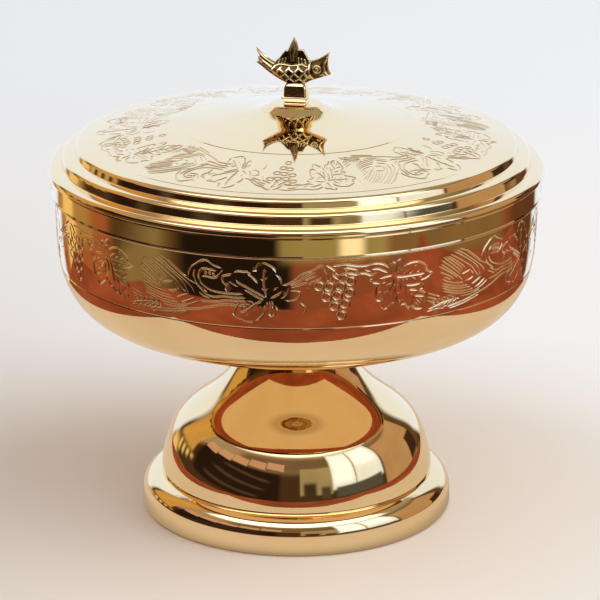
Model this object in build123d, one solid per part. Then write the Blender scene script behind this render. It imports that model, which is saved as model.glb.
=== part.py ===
from build123d import *
import math
import os

# Covered bowl ciborium of polished, gold-plated spun brass, in millimetres.
# +Z is up, the origin is the middle of the foot's resting face, and the fish on
# the lid looks nearly along +X. The lid is drawn closed and lifts straight off.

# ---------------------------------------------------------------- driving sizes
SHEET = 0.8            # spun sheet of the bowl and the lid
FOOT_SHEET = 0.9       # spun sheet of the foot's bell
RING_SHEET = 1.0       # sheet of the stepped base ring
FIT = 0.3              # clearance between the lid and the bowl

FOOT_R = 51.0          # resting edge of the foot
STEP_Z = 12.1          # top of the foot's stepped base ring
BELL_R = 44.8          # foot of the bell, where it stands on the base ring
NECK_R = 16.6          # top of the foot's neck
NECK_TOP = 58.6        # flat top of the neck

BOWL_BOTTOM = 60.2     # underside of the bowl at the neck
BOWL_R = 78.1          # bowl wall inside the lid's skirt
BOWL_TOP = 114.3       # cut edge of the bowl wall, under its rim ring
RIM_WIDE = 1.9         # flat wire ring on the bowl's mouth
RIM_HIGH = 1.3

LIP_R = 80.0           # widest radius: the lowest moulding of the lid
SKIRT_R = 79.0         # outside of the lid's skirt
SKIRT_Z = 107.5        # lower edge of the skirt
LIP_Z = 117.1          # top of the lowest moulding at its outer corner
HILL_TOP = 133.65      # flat seat in the middle of the lid's hollow-sided rise
SEAT_R = 11.0          # radius of that flat seat
DISC_R = 68.0          # outer edge of the rise
DISC_Z = 124.6
DISC_SLOPE = 0.149     # fall of the rise per millimetre at its outer edge

BOSS_TOP = 136.3       # flat top of the round cap that stands on the seat
PLATE_Z = 138.2        # thin plate in the finial's stalk
PLATE_THICK = 0.4
STALK_X = 7.3          # stalk of the finial, across and deep
STALK_Y = 6.6
STALK_TOP = 142.3
FISH_THICK = 6.4       # thickest part of the fish
FISH_TOP = 157.8       # tip of the dorsal fin
FISH_TURN = -10.0      # how far the lid is turned, so the fish looks 10 degrees off +X

LID_THREAD = 2.0       # radius of the M4 stud in the lid
TIE_THREAD = 3.0       # radius of the M6 stud in the foot
THREAD_GAP = 0.15      # clearance round a stud in a plain hole
SEAM = 0.05            # gap left at soldered and screwed seams


# -------------------------------------------------------------------- helpers
def turned(*edges):
    """Turn a closed outline of (radius, height) edges about the Z axis."""
    outline = make_face(Wire(edges))
    return revolve(Plane.XZ * outline, Axis.Z)


def beside(edge, u, distance):
    """Point beside an edge at parameter u, square to it and on its left if positive."""
    point = edge @ u
    along = edge % u
    return (point.X - distance * along.Y, point.Y + distance * along.X)


def moved_edge(edge, distance):
    """The edge moved sideways: a line, an arc or a curve through moved points."""
    if edge.geom_type == GeomType.LINE:
        return Line(beside(edge, 0, distance), beside(edge, 1, distance))
    if edge.geom_type == GeomType.CIRCLE:
        return ThreePointArc(*[beside(edge, u, distance) for u in (0, 0.5, 1)])
    stations = 16
    points = [beside(edge, i / stations, distance) for i in range(stations + 1)]
    return Spline(points, tangents=[edge % 0, edge % 1])


def spun(edges, thickness):
    """Turn a sheet whose one face follows edges, thick to their left if positive."""
    chain = list(edges)
    other = [moved_edge(edge, thickness) for edge in chain]
    first = Line(chain[0] @ 0, other[0] @ 0)
    last = Line(chain[-1] @ 1, other[-1] @ 1)
    return turned(*chain, *other, first, last)


def ring(inner, outer, bottom, top):
    """A flat ring about the axis; an inner radius of nought gives a disc."""
    body = Pos(0, 0, bottom) * extrude(Circle(outer), top - bottom)
    if inner > 0:
        body -= Pos(0, 0, bottom - 1) * extrude(Circle(inner), top - bottom + 2)
    return body


def stud(radius, pitch, bottom, top):
    """A rod with its thread drawn as plain grooves, one to each pitch."""
    rod = ring(0, radius, bottom, top)
    depth = 0.3 * pitch
    turns = int((top - bottom) / pitch) - 1
    cuts = [
        Pos(0, 0, bottom + (i + 0.5) * pitch)
        * (ring(radius - depth, radius + 1, 0, 0.45 * pitch))
        for i in range(turns)
    ]
    return rod - cuts


def hex_nut(across_flats, bore, bottom, top):
    """A six-sided nut with its outer corners turned off at both ends."""
    corner = across_flats / math.sqrt(3)
    blank = Pos(0, 0, bottom) * extrude(RegularPolygon(corner, 6), top - bottom)
    chamfer = 0.12 * across_flats
    drop = chamfer * 0.6
    turned_blank = turned(
        Line((0, bottom), (corner - chamfer, bottom)),
        Line((corner - chamfer, bottom), (corner, bottom + drop)),
        Line((corner, bottom + drop), (corner, top - drop)),
        Line((corner, top - drop), (corner - chamfer, top)),
        Line((corner - chamfer, top), (0, top)),
        Line((0, top), (0, bottom)),
    )
    nut = blank & turned_blank
    return nut - ring(0, bore, bottom - 1, top + 1) if bore > 0 else nut


def lock_washer(inner, outer, bottom, top):
    """A split spring ring, its two ends standing apart."""
    middle = (inner + outer) / 2
    slot = Pos(middle, 0, (bottom + top) / 2) * Box(outer - inner + 2, 0.8, 4)
    return ring(inner, outer, bottom, top) - Rot(0, 0, 15) * slot


# ----------------------------------------------------------------------- foot
def foot_base_ring():
    """Stepped ring the vessel rests on: flat top, quarter round, wall, turned-in edge."""
    path = FilletPolyline(
        (42.5, STEP_Z), (50.7, STEP_Z), (FOOT_R, 0), (46.5, 0), radius=(6.6, 1.3)
    )
    return spun(path.edges(), -RING_SHEET)


def foot_bell():
    """Flared foot: closed flat neck top, hollow neck, round shoulder, upright hem."""
    top = FilletPolyline((3.3, NECK_TOP), (NECK_R, NECK_TOP), (17.2, 56.0), radius=1.3)
    flare = Spline(
        (17.2, 56.0),
        (20.8, 47.4),
        (28.0, 39.5),
        (34.2, 34.8),
        (39.2, 30.0),
        (42.6, 23.2),
        (BELL_R, STEP_Z + SEAM),
        tangents=[(0.6, -2.6), (0.04, -1)],
    )
    return spun(top.edges() + flare.edges(), -FOOT_SHEET)


def neck_collar():
    """Round-edged spacer ring seen between the foot's neck and the bowl."""
    inner, outer = 12.2, 17.3
    low, high = NECK_TOP + SEAM, BOWL_BOTTOM - SEAM
    return turned(
        Line((inner, low), (outer, low)),
        ThreePointArc((outer, low), (outer + 0.75, (low + high) / 2), (outer, high)),
        Line((outer, high), (inner, high)),
        Line((inner, high), (inner, low)),
    )


def bowl_boss():
    """Disc brazed under the bowl that the tie stud is screwed into."""
    return ring(TIE_THREAD + SEAM, 12.0, NECK_TOP + SEAM, BOWL_BOTTOM - SEAM)


def clamp_washer():
    """Thick washer inside the neck that pulls the foot up to the bowl."""
    return ring(TIE_THREAD + THREAD_GAP, 12.5, 56.2, NECK_TOP - FOOT_SHEET - SEAM)


def foot_lock_washer():
    """Split lock washer under the foot's nut."""
    return lock_washer(TIE_THREAD + THREAD_GAP, 5.4, 54.8, 56.15)


def tie_stud():
    """M6 stud from the bowl's boss down through the neck."""
    return stud(TIE_THREAD, 1.0, 46.8, BOWL_BOTTOM - SEAM)


def foot_nut():
    """M6 nut that holds foot and bowl together."""
    return hex_nut(10.0, TIE_THREAD + SEAM, 49.8, 54.75)


# ----------------------------------------------------------------------- bowl
def bowl_wall():
    """Outer face of the bowl: flat seat, shallow bottom, tightening round, upright wall."""
    seat = Line((0, BOWL_BOTTOM), (16.5, BOWL_BOTTOM))
    curve = Spline(
        (16.5, BOWL_BOTTOM),
        (30.3, 61.1),
        (46.0, 63.0),
        (59.2, 65.9),
        (67.5, 69.7),
        (72.3, 74.4),
        (75.4, 80.1),
        (77.2, 87.5),
        tangents=[(1, 0), (0.1, 1)],
    )
    wall = Spline(
        (77.2, 87.5), (77.8, 96.0), (BOWL_R, BOWL_TOP), tangents=[(0.1, 1), (0, 1)]
    )
    return [*seat.edges(), *curve.edges(), *wall.edges()]


def bowl_shell():
    """Spun bowl, open at the top."""
    return spun(bowl_wall(), SHEET)


def bowl_rim_ring():
    """Flat wire with rounded upper edges, soldered on the bowl's cut edge under the lid."""
    low = BOWL_TOP + SEAM
    high = low + RIM_HIGH
    inner = BOWL_R - RIM_WIDE
    over = FilletPolyline(
        (BOWL_R, low), (BOWL_R, high), (inner, high), (inner, low), radius=0.5
    )
    return turned(*over.edges(), Line((inner, low), (BOWL_R, low)))


# ------------------------------------------------------------------------ lid
def lid_shell():
    """Spun lid: hollow-sided rise, two steps down and a rounded lip, bored for the stud."""
    bore = LID_THREAD + THREAD_GAP
    seat = Line((bore, HILL_TOP), (SEAT_R, HILL_TOP))
    rise = Spline(
        (SEAT_R, HILL_TOP), (13.2, 133.4), (15.5, 132.87), (18.0, 132.37), (22.0, 131.79),
        (28.0, 130.9), (38.0, 129.25), (52.0, 127.0), (DISC_R, DISC_Z),
        tangents=[(1, 0), (1, -DISC_SLOPE)],
    )
    shoulder = 70.7
    steps = FilletPolyline(
        (DISC_R, DISC_Z),
        (shoulder, DISC_Z - DISC_SLOPE * (shoulder - DISC_R)),
        (71.5, 121.5),
        (75.1, 120.9),
        (75.9, 117.5),
        (LIP_R - 0.05, LIP_Z - 0.1),
        (LIP_R, LIP_Z - 2.3),
        (SKIRT_R - 0.05, LIP_Z - 2.65),
        radius=(1.8, 0.5, 1.8, 0.5, 1.9, 0.3),
    )
    return spun(seat.edges() + rise.edges() + steps.edges(), -SHEET)


def lid_skirt_band():
    """Upright band under the lip that goes round the bowl, with a thick rounded edge."""
    inner = BOWL_R + FIT
    top = LIP_Z - 2.75
    edge = SKIRT_Z + 0.35
    return turned(
        Line((inner, top), (SKIRT_R - 0.1, top)),
        Line((SKIRT_R - 0.1, top), (SKIRT_R, top - 0.4)),
        Line((SKIRT_R, top - 0.4), (SKIRT_R, SKIRT_Z + 1.2)),
        Line((SKIRT_R, SKIRT_Z + 1.2), (SKIRT_R + 0.15, edge)),
        ThreePointArc((SKIRT_R + 0.15, edge), (SKIRT_R - 0.1, SKIRT_Z), (SKIRT_R - 0.35, edge - 0.1)),
        Line((SKIRT_R - 0.35, edge - 0.1), (inner, edge)),
        Line((inner, edge), (inner, top)),
    )


def lid_boss():
    """Low round cap on the lid's seat that the finial stands on."""
    bore = LID_THREAD + THREAD_GAP
    low = HILL_TOP + SEAM
    return turned(
        Line((bore, low), (SEAT_R, low)),
        Line((SEAT_R, low), (SEAT_R, low + 0.2)),
        Spline(
            (SEAT_R, low + 0.2), (10.2, 134.6), (9.4, 135.25), (8.4, 135.9), (7.0, BOSS_TOP),
            tangents=[(-1, 0.6), (-1, 0)],
        ),
        Line((7.0, BOSS_TOP), (bore, BOSS_TOP)),
        Line((bore, BOSS_TOP), (bore, low)),
    )


def lid_stud():
    """M4 stud from inside the lid up into the fish's stalk."""
    return stud(LID_THREAD, 0.7, 127.95, 141.0)


def lid_washer():
    """Wide washer under the lid's seat."""
    return ring(LID_THREAD + THREAD_GAP, 7.0, 131.7, HILL_TOP - SHEET - 0.1)


def lid_lock_washer():
    """Split lock washer between the wide washer and the cap nut."""
    return lock_washer(LID_THREAD + THREAD_GAP, 3.6, 130.75, 131.65)


def lid_nut():
    """M4 cap nut inside the lid, closed by a dome so that it can be wiped clean."""
    flats = 7.0
    cap_r = 3.3
    low = 127.45
    high = 130.7
    drilled = ring(0, LID_THREAD + SEAM, low + 0.2, high + 1)
    cap = Pos(0, 0, low) * Sphere(cap_r)
    below = Pos(0, 0, low - 5) * Box(10, 10, 10)
    return hex_nut(flats, 0, low, high) + (cap & below) - drilled


# -------------------------------------------------------------------- finial
def finial_foot():
    """Short flared block under the plate, bored for the stud."""
    base = Plane.XY.offset(BOSS_TOP + SEAM) * Rectangle(STALK_X - 0.3, STALK_Y - 0.4)
    top = Plane.XY.offset(PLATE_Z) * Rectangle(STALK_X + 0.7, STALK_Y + 0.5)
    block = Rot(0, 0, FISH_TURN) * loft([base, top])
    return block - ring(0, LID_THREAD + THREAD_GAP, BOSS_TOP - 1, PLATE_Z + 1)


def finial_plate():
    """Thin plate that stands proud round the stalk."""
    low = PLATE_Z + SEAM
    outline = Rot(0, 0, FISH_TURN) * Rectangle(STALK_X + 1.5, STALK_Y + 1.2)
    blank = Pos(0, 0, low) * extrude(outline, PLATE_THICK)
    return blank - ring(0, LID_THREAD + THREAD_GAP, PLATE_Z - 1, PLATE_Z + 2)


def fish_outline():
    """Side view of the fish: crescent body, forked tail at -X, open mouth at +X."""
    back = Spline((-13.0, 154.1), (-9.8, 151.2), (-7.0, 149.5), (0, 149.2), (5.4, 150.5), (11.0, 153.4))
    belly = Spline((11.5, 146.0), (6.6, 144.3), (0, 142.1), (-7.8, 145.3), (-12.8, 149.3))
    mouth = ThreePointArc((11.0, 153.4), (10.3, 150.0), (11.5, 146.0))
    fork = Polyline((-12.8, 149.3), (-12.0, 151.6), (-13.0, 154.1))
    return make_face(Wire(back.edges() + mouth.edges() + belly.edges() + fork.edges()))


def fin_outline():
    """Side view of the dorsal fin: a tall spine between two lower rays."""
    return make_face(
        Polyline(
            (-6.4, 149.0), (-3.3, 153.4), (-2.4, 153.6), (-0.55, FISH_TOP),
            (1.1, 153.8), (2.8, 153.7), (4.6, 149.6), (-6.4, 149.0),
        )
    )


def fish_finial():
    """Cast fish with its dorsal fin and the upper part of the stalk, tapped below."""
    side = Plane.XZ
    slab = extrude(side * fish_outline(), FISH_THICK / 2, both=True)
    swell = Pos(0.5, 0, 148) * scale(Sphere(1), by=(16.5, FISH_THICK / 2, 12.5))
    body = slab & swell
    fin = extrude(side * fin_outline(), 0.8, both=True)
    stalk_low = PLATE_Z + PLATE_THICK + 2 * SEAM
    stalk = Pos(0, 0, stalk_low) * extrude(Rectangle(STALK_X, STALK_Y), STALK_TOP + 1.2 - stalk_low)
    cast = body + fin + (stalk - Pos(0, 0, 154.0) * Box(10, 10, 20.8))
    return Rot(0, 0, FISH_TURN) * cast - ring(0, LID_THREAD + SEAM, stalk_low - 1, 141.2)


# --------------------------------------------------------------------- output
SUBPARTS = {
    "foot_base_ring": foot_base_ring,
    "foot_bell": foot_bell,
    "neck_collar": neck_collar,
    "bowl_boss": bowl_boss,
    "tie_stud": tie_stud,
    "clamp_washer": clamp_washer,
    "foot_lock_washer": foot_lock_washer,
    "foot_nut": foot_nut,
    "bowl_shell": bowl_shell,
    "bowl_rim_ring": bowl_rim_ring,
    "lid_shell": lid_shell,
    "lid_skirt_band": lid_skirt_band,
    "lid_boss": lid_boss,
    "lid_stud": lid_stud,
    "lid_washer": lid_washer,
    "lid_lock_washer": lid_lock_washer,
    "lid_nut": lid_nut,
    "finial_foot": finial_foot,
    "finial_plate": finial_plate,
    "fish_finial": fish_finial,
}

os.makedirs("parts", exist_ok=True)
for name, build in SUBPARTS.items():
    export_step(build(), f"parts/{name}.step")
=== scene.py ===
import bpy
import math
import numpy as np
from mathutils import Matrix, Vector
from mathutils.geometry import delaunay_2d_cdt


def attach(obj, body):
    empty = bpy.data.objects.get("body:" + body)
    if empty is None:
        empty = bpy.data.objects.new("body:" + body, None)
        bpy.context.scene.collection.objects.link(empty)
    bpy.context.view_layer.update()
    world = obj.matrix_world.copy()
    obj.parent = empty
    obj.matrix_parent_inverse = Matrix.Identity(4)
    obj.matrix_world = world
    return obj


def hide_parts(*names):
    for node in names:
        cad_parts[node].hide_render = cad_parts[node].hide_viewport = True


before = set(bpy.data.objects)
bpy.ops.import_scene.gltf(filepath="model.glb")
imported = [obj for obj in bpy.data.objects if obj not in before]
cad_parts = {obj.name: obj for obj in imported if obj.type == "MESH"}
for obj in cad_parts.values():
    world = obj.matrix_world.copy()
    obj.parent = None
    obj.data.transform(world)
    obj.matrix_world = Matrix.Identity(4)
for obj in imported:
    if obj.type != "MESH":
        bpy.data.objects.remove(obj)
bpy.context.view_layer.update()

MM = 0.001

# ------------------------------------------------------------ driving sizes, mm
SHEET = 0.8
FOOT_SHEET = 0.9
RING_SHEET = 1.0
SEAM = 0.05
FIT = 0.3
FOOT_R, STEP_Z, BELL_R = 51.0, 12.1, 44.8
NECK_R, NECK_TOP = 16.6, 58.6
BOWL_BOTTOM, BOWL_R, BOWL_TOP = 60.2, 78.1, 114.3
RIM_WIDE, RIM_HIGH = 1.9, 1.3
LIP_R, SKIRT_R, SKIRT_Z, LIP_Z = 80.0, 79.0, 107.5, 117.1
HILL_TOP, SEAT_R, BOSS_TOP = 133.65, 11.0, 136.3
DISC_R, DISC_Z, DISC_SLOPE = 68.0, 124.6, 0.149
STUD_BORE = 2.15
BOWL_SEAT_R = 16.5
CAP_TOP_R = 7.0
SKIRT_TOP = LIP_Z - 2.75
STEP_DEG = 1.2         # angle between two stations round the axis
TILES = 5              # repeats of the engraved design
TILE_DEG = 360 / TILES


# ------------------------------------------------------- profiles of sheet metal
# A profile is a list of stretches, and a stretch is a list of samples
# (radius, height, normal's radius part, normal's height part). Normals point out
# of the metal on the left of the direction of travel if side is 1, right if -1.
def unit(x, y):
    length = math.hypot(x, y)
    return (x / length, y / length)


def straight(p, q, side, steps=1):
    dx, dy = unit(q[0] - p[0], q[1] - p[1])
    n = (-dy * side, dx * side)
    return [
        (p[0] + (q[0] - p[0]) * i / steps, p[1] + (q[1] - p[1]) * i / steps, *n)
        for i in range(steps + 1)
    ]


def bend(centre, radius, start, end, outward, steps=8):
    """Arc from angle start to end in degrees; its normal points away from the centre if outward."""
    out = []
    for i in range(steps + 1):
        a = math.radians(start + (end - start) * i / steps)
        c, s = math.cos(a), math.sin(a)
        k = 1 if outward else -1
        out.append((centre[0] + radius * c, centre[1] + radius * s, c * k, s * k))
    return out


def filleted(points, radii, side, steps=8):
    """A chain of straight stretches with rounded corners."""
    out = []
    at = points[0]
    for i in range(1, len(points) - 1):
        p, q, r = points[i - 1], points[i], points[i + 1]
        d1, d2 = unit(q[0] - p[0], q[1] - p[1]), unit(r[0] - q[0], r[1] - q[1])
        turn = d1[0] * d2[1] - d1[1] * d2[0]
        angle = math.acos(max(-1, min(1, d1[0] * d2[0] + d1[1] * d2[1])))
        radius = radii[i - 1]
        cut = radius * math.tan(angle / 2)
        a = (q[0] - d1[0] * cut, q[1] - d1[1] * cut)
        b = (q[0] + d2[0] * cut, q[1] + d2[1] * cut)
        k = 1 if turn > 0 else -1
        centre = (a[0] - d1[1] * radius * k, a[1] + d1[0] * radius * k)
        start = math.degrees(math.atan2(a[1] - centre[1], a[0] - centre[0]))
        out.append(straight(at, a, side))
        out.append(bend(centre, radius, start, start + math.degrees(angle) * k, k != side, steps))
        at = b
    out.append(straight(at, points[-1], side))
    return out


def flowing(points, first, last, side, steps):
    """A smooth curve through points, with its directions at both ends given."""
    pts = np.array(points, float)
    gaps = np.linalg.norm(np.diff(pts, axis=0), axis=1)
    t = np.concatenate([[0], np.cumsum(gaps)])
    n = len(pts)
    rows, rhs = np.zeros((n, n)), np.zeros((n, 2))
    rows[0, 0] = rows[-1, -1] = 1
    rhs[0], rhs[-1] = unit(*first), unit(*last)
    for i in range(1, n - 1):
        a, b = gaps[i - 1], gaps[i]
        rows[i, i - 1 : i + 2] = b, 2 * (a + b), a
        rhs[i] = 3 * (b * (pts[i] - pts[i - 1]) / a + a * (pts[i + 1] - pts[i]) / b)
    slopes = np.linalg.solve(rows, rhs)
    out = []
    for u in np.linspace(0, t[-1], steps + 1):
        i = min(int(np.searchsorted(t, u, side="right")) - 1, n - 2)
        h = gaps[i]
        s = (u - t[i]) / h
        p = (
            (2 * s**3 - 3 * s**2 + 1) * pts[i]
            + (s**3 - 2 * s**2 + s) * h * slopes[i]
            + (3 * s**2 - 2 * s**3) * pts[i + 1]
            + (s**3 - s**2) * h * slopes[i + 1]
        )
        d = (
            (6 * s**2 - 6 * s) * pts[i] / h
            + (3 * s**2 - 4 * s + 1) * slopes[i]
            + (6 * s - 6 * s**2) * pts[i + 1] / h
            + (3 * s**2 - 2 * s) * slopes[i + 1]
        )
        dx, dy = unit(*d)
        out.append((p[0], p[1], -dy * side, dx * side))
    return out


def behind(stretches, thickness):
    """The other face of the sheet, travelled backwards."""
    return [
        [(r - nr * thickness, z - nz * thickness, -nr, -nz) for r, z, nr, nz in reversed(s)]
        for s in reversed(stretches)
    ]


def sheet_metal(face, thickness, side):
    """Closed outline: one face, cut edge, the other face, cut edge."""
    back = behind(face, thickness)
    edge = 1 if side > 0 else -1
    first = straight(back[-1][-1][:2], face[0][0][:2], edge)
    last = straight(face[-1][-1][:2], back[0][0][:2], edge)
    return [*face, last, *back, first]


# ------------------------------------------------------------------ mesh building
class Skin:
    """Collects faces with a normal of their own at each corner, then makes one mesh."""

    def __init__(self):
        self.index = {}
        self.cut = set()      # points on the floors of grooves
        self.points = []
        self.faces = []
        self.normals = []

    def point(self, p):
        key = (round(p[0], 4), round(p[1], 4), round(p[2], 4))
        if key not in self.index:
            self.index[key] = len(self.points)
            self.points.append(tuple(p))
        return self.index[key]

    def face(self, corners, normals):
        ids, kept = [], []
        for p, n in zip(corners, normals):
            i = self.point(p)
            if i not in ids:
                ids.append(i)
                kept.append(n)
        if len(ids) < 3:
            return
        a, b, c = (self.points[i] for i in ids[:3])
        ux, uy, uz = b[0] - a[0], b[1] - a[1], b[2] - a[2]
        vx, vy, vz = c[0] - a[0], c[1] - a[1], c[2] - a[2]
        nx, ny, nz = (sum(n[k] for n in kept) for k in range(3))
        if nx * (uy * vz - uz * vy) + ny * (uz * vx - ux * vz) + nz * (ux * vy - uy * vx) < 0:
            ids.reverse()
            kept.reverse()
        self.faces.append(ids)
        self.normals.append(kept)

    def turn(self, stretches, start=0.0, step=STEP_DEG):
        """Faces of a turned surface; start and step are degrees from the x axis."""
        count = round(360 / step)
        angles = [math.radians(start + step * k) for k in range(count)]
        cs = [(math.cos(a), math.sin(a)) for a in angles]
        for stretch in stretches:
            for (r0, z0, m0, h0), (r1, z1, m1, h1) in zip(stretch, stretch[1:]):
                if abs(r0 - r1) + abs(z0 - z1) < 1e-6:
                    continue
                for k in range(count):
                    (ca, sa), (cb, sb) = cs[k], cs[(k + 1) % count]
                    self.face(
                        [
                            (r0 * ca, r0 * sa, z0),
                            (r0 * cb, r0 * sb, z0),
                            (r1 * cb, r1 * sb, z1),
                            (r1 * ca, r1 * sa, z1),
                        ],
                        [
                            (m0 * ca, m0 * sa, h0),
                            (m0 * cb, m0 * sb, h0),
                            (m1 * cb, m1 * sb, h1),
                            (m1 * ca, m1 * sa, h1),
                        ],
                    )

    def piece(self, name, body, slot, nodes):
        """The mesh, with its moving body, its finish and the CAD nodes it stands in for."""
        mesh = bpy.data.meshes.new(name)
        mesh.from_pydata([tuple(c * MM for c in p) for p in self.points], [], self.faces)
        mesh.polygons.foreach_set("use_smooth", [True] * len(self.faces))
        flat = [unit3(n) for face in self.normals for n in face]
        mesh.normals_split_custom_set(flat)
        mesh.update()
        mesh.materials.append(FINISH[slot])
        if self.cut:
            groove = mesh.attributes.new("groove", "FLOAT", "POINT")
            groove.data.foreach_set("value", [float(i in self.cut) for i in range(len(self.points))])
        obj = in_scene(name, mesh)
        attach(obj, body)
        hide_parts(*nodes)
        return obj


def in_scene(name, data):
    """A new object in the scene's collection."""
    obj = bpy.data.objects.new(name, data)
    bpy.context.scene.collection.objects.link(obj)
    return obj


def unit3(n):
    length = math.sqrt(n[0] ** 2 + n[1] ** 2 + n[2] ** 2)
    return (n[0] / length, n[1] / length, n[2] / length)


# --------------------------------------------------------------- engraved design
# The frieze is drawn unrolled: degrees round the bowl, and millimetres above the
# floor, for one repeat. A line is (width, points), and points that start with "o"
# are a closed ring.
WIDE, FINE = 0.74, 0.52                   # widths of lines, mm
SHEAF_SHIFT, LEAF_SHIFT = -33.05, 38.95   # degrees from the drawing to the repeat


def drawn(width, lines):
    return [(width, line) for line in lines]


def sheaf():
    """Stalks of a cut sheaf, held by two bands, with the long stems that leave it."""
    stalks = [
        [(41.8, 104.9), (43.5, 103.4), (45.3, 101.6), (46.6, 100.4), (47.5, 100.0)],
        [(39.7, 105.8), (41.5, 104.8), (43.2, 103.2), (45.0, 101.4), (46.6, 99.9), (48.2, 98.8),
         (49.6, 98.0)],
        [(38.9, 105.5), (41.0, 103.9), (43.2, 101.9), (45.2, 100.1), (47.2, 98.2), (48.5, 96.4),
         (48.9, 94.9)],
        [(38.2, 105.1), (40.6, 103.3), (43.0, 101.2), (45.2, 99.2), (46.4, 97.6), (46.9, 96.0),
         (47.5, 94.7)],
        [(37.1, 104.5), (39.6, 102.6), (42.0, 100.5), (44.2, 98.5), (45.2, 96.9), (46.1, 95.6),
         (47.0, 94.9)],
        [(36.5, 104.0), (38.8, 102.1), (40.8, 100.2), (42.1, 98.7)],
        [(35.7, 104.1), (38.1, 101.9), (40.0, 100.0), (41.4, 98.3)],
        [(35.0, 104.1), (37.4, 101.6), (39.4, 99.5), (40.9, 97.7)],
        [(34.4, 103.3), (36.8, 101.0), (38.8, 99.0), (40.4, 97.2)],
        [(34.4, 102.0), (36.6, 99.9), (38.6, 97.9), (40.3, 96.2), (41.4, 94.6)],
        [(33.8, 101.4), (35.6, 99.9), (37.4, 98.4), (38.9, 97.0), (39.8, 95.8)],
        [(34.2, 99.5), (35.8, 98.4), (37.4, 97.2), (38.7, 96.0)],
        [(35.3, 97.6), (36.5, 96.9), (37.8, 95.9)],
    ]
    sweep = [
        [(34.9, 97.0), (36.4, 95.9), (38.0, 95.1), (39.8, 94.6), (41.6, 94.3)],
        [(35.0, 95.7), (37.0, 94.5), (39.0, 93.8), (41.2, 93.3), (43.0, 93.1)],
        [(34.9, 94.9), (37.0, 93.7), (39.0, 93.0), (41.4, 92.5), (44.0, 92.3)],
        [(35.0, 94.1), (37.0, 92.9), (39.0, 92.1), (41.0, 91.6), (43.0, 91.4), (45.0, 91.4)],
        [(35.3, 93.0), (37.0, 92.2), (39.0, 91.3), (41.2, 90.8), (43.6, 90.6), (46.0, 90.7),
         (48.2, 91.5), (50.2, 92.7)],
        [(40.6, 90.0), (42.6, 89.8), (45.0, 89.9), (47.4, 90.5)],
    ]
    bands = [
        [(40.6, 97.1), (42.0, 97.5), (43.7, 97.9)],
        [(43.8, 97.6), (44.4, 96.6), (45.0, 95.5)],
        [(41.9, 94.7), (43.2, 94.8), (45.0, 95.4)],
        [(44.2, 92.8), (45.8, 93.6), (47.6, 94.5)],
        [(45.2, 91.4), (46.8, 92.0), (48.0, 92.8), (49.1, 93.5)],
    ]
    stems = [
        [(36.6, 87.6), (39.5, 88.0), (42.5, 88.4), (45.0, 89.0), (48.0, 89.7), (50.5, 90.3),
         (53.0, 91.2), (55.2, 92.1), (57.0, 92.4), (60.0, 92.4), (61.5, 92.9)],
        [(37.2, 86.9), (40.0, 87.2), (43.0, 87.7), (45.2, 88.2), (47.2, 88.7)],
        [(50.2, 92.8), (52.0, 92.8), (54.0, 93.0), (56.0, 93.6), (57.6, 93.8), (60.0, 93.8), (61.6, 94.0)],
        [(49.8, 97.6), (51.0, 96.2), (52.2, 95.0), (53.8, 94.5), (55.5, 94.8), (57.2, 94.9),
         (59.2, 94.8), (61.4, 95.0)],
        [(50.0, 95.6), (51.2, 94.6), (53.0, 93.9)],
    ]
    return drawn(FINE, stalks + sweep) + drawn(WIDE, bands + stems)


def curled_leaf():
    """Long blade that rises from the sheaf and curls over, with seeds in its fold."""
    lines = [
        [(47.5, 100.3), (47.6, 101.5), (47.9, 102.4), (48.5, 103.5), (49.4, 104.4), (50.4, 105.4),
         (51.5, 106.0), (52.5, 105.8), (53.4, 105.0), (54.5, 104.3), (55.9, 104.0)],
        [(49.1, 102.8), (48.9, 101.5), (49.0, 100.2), (49.3, 99.0), (49.9, 97.8), (51.0, 96.7),
         (52.3, 95.7)],
        [(54.6, 102.9), (53.2, 103.1), (51.9, 103.3), (50.9, 103.1), (50.3, 102.3), (50.1, 101.2),
         (50.2, 100.0), (50.6, 98.9), (51.3, 97.9), (52.4, 97.0), (53.6, 96.4), (55.0, 96.1),
         (57.0, 96.0), (59.0, 96.0), (60.8, 96.2)],
        [(50.8, 100.6), (51.8, 100.9), (52.8, 100.7), (53.8, 100.6), (54.6, 101.1), (55.4, 102.2),
         (56.0, 103.4)],
    ]
    seeds = [(51.9, 102.1), (52.9, 102.0), (53.8, 101.8)]
    return drawn(WIDE, lines) + drawn(FINE, [ring(x, y, 0.34) for x, y in seeds])


def wheat_ear():
    """Ear of wheat that lies under the sheaf: grains on both sides of a bent stalk."""
    out = [(WIDE, [(31.4, 88.0), (33.4, 88.7), (35.6, 89.4), (38.0, 89.6), (40.4, 89.4)])]
    for i in range(5):
        x, y = 33.6 + 1.45 * i, 89.0 + 0.16 * i
        out += grain(x, y, 1.5, 1.7)
        out += grain(x + 0.4, y - 0.2, 1.5, -1.25)
    husks = [
        [(31.0, 93.4), (32.0, 92.8), (33.3, 92.1), (34.6, 91.6)],
        [(30.95, 91.0), (32.0, 90.3), (33.4, 89.6)],
        [(30.95, 92.2), (32.2, 91.5), (33.8, 90.8)],
        [(31.0, 87.2), (32.4, 87.6), (34.0, 87.7), (36.0, 87.3)],
    ]
    return out + drawn(FINE, husks)


def grain(x, y, length, rise):
    """Two bowed lines that meet at both ends."""
    tip = (x - length, y + rise)
    mid = (x - length * 0.5, y + rise * 0.5)
    fat = 0.5 if rise > 0 else -0.5
    return [
        (FINE, [(x, y), (mid[0] + 0.35, mid[1] + fat), tip]),
        (FINE, [(x - 0.1, y), (mid[0] - 0.45, mid[1] - fat * 0.3), (tip[0] - 0.05, tip[1])]),
    ]


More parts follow.
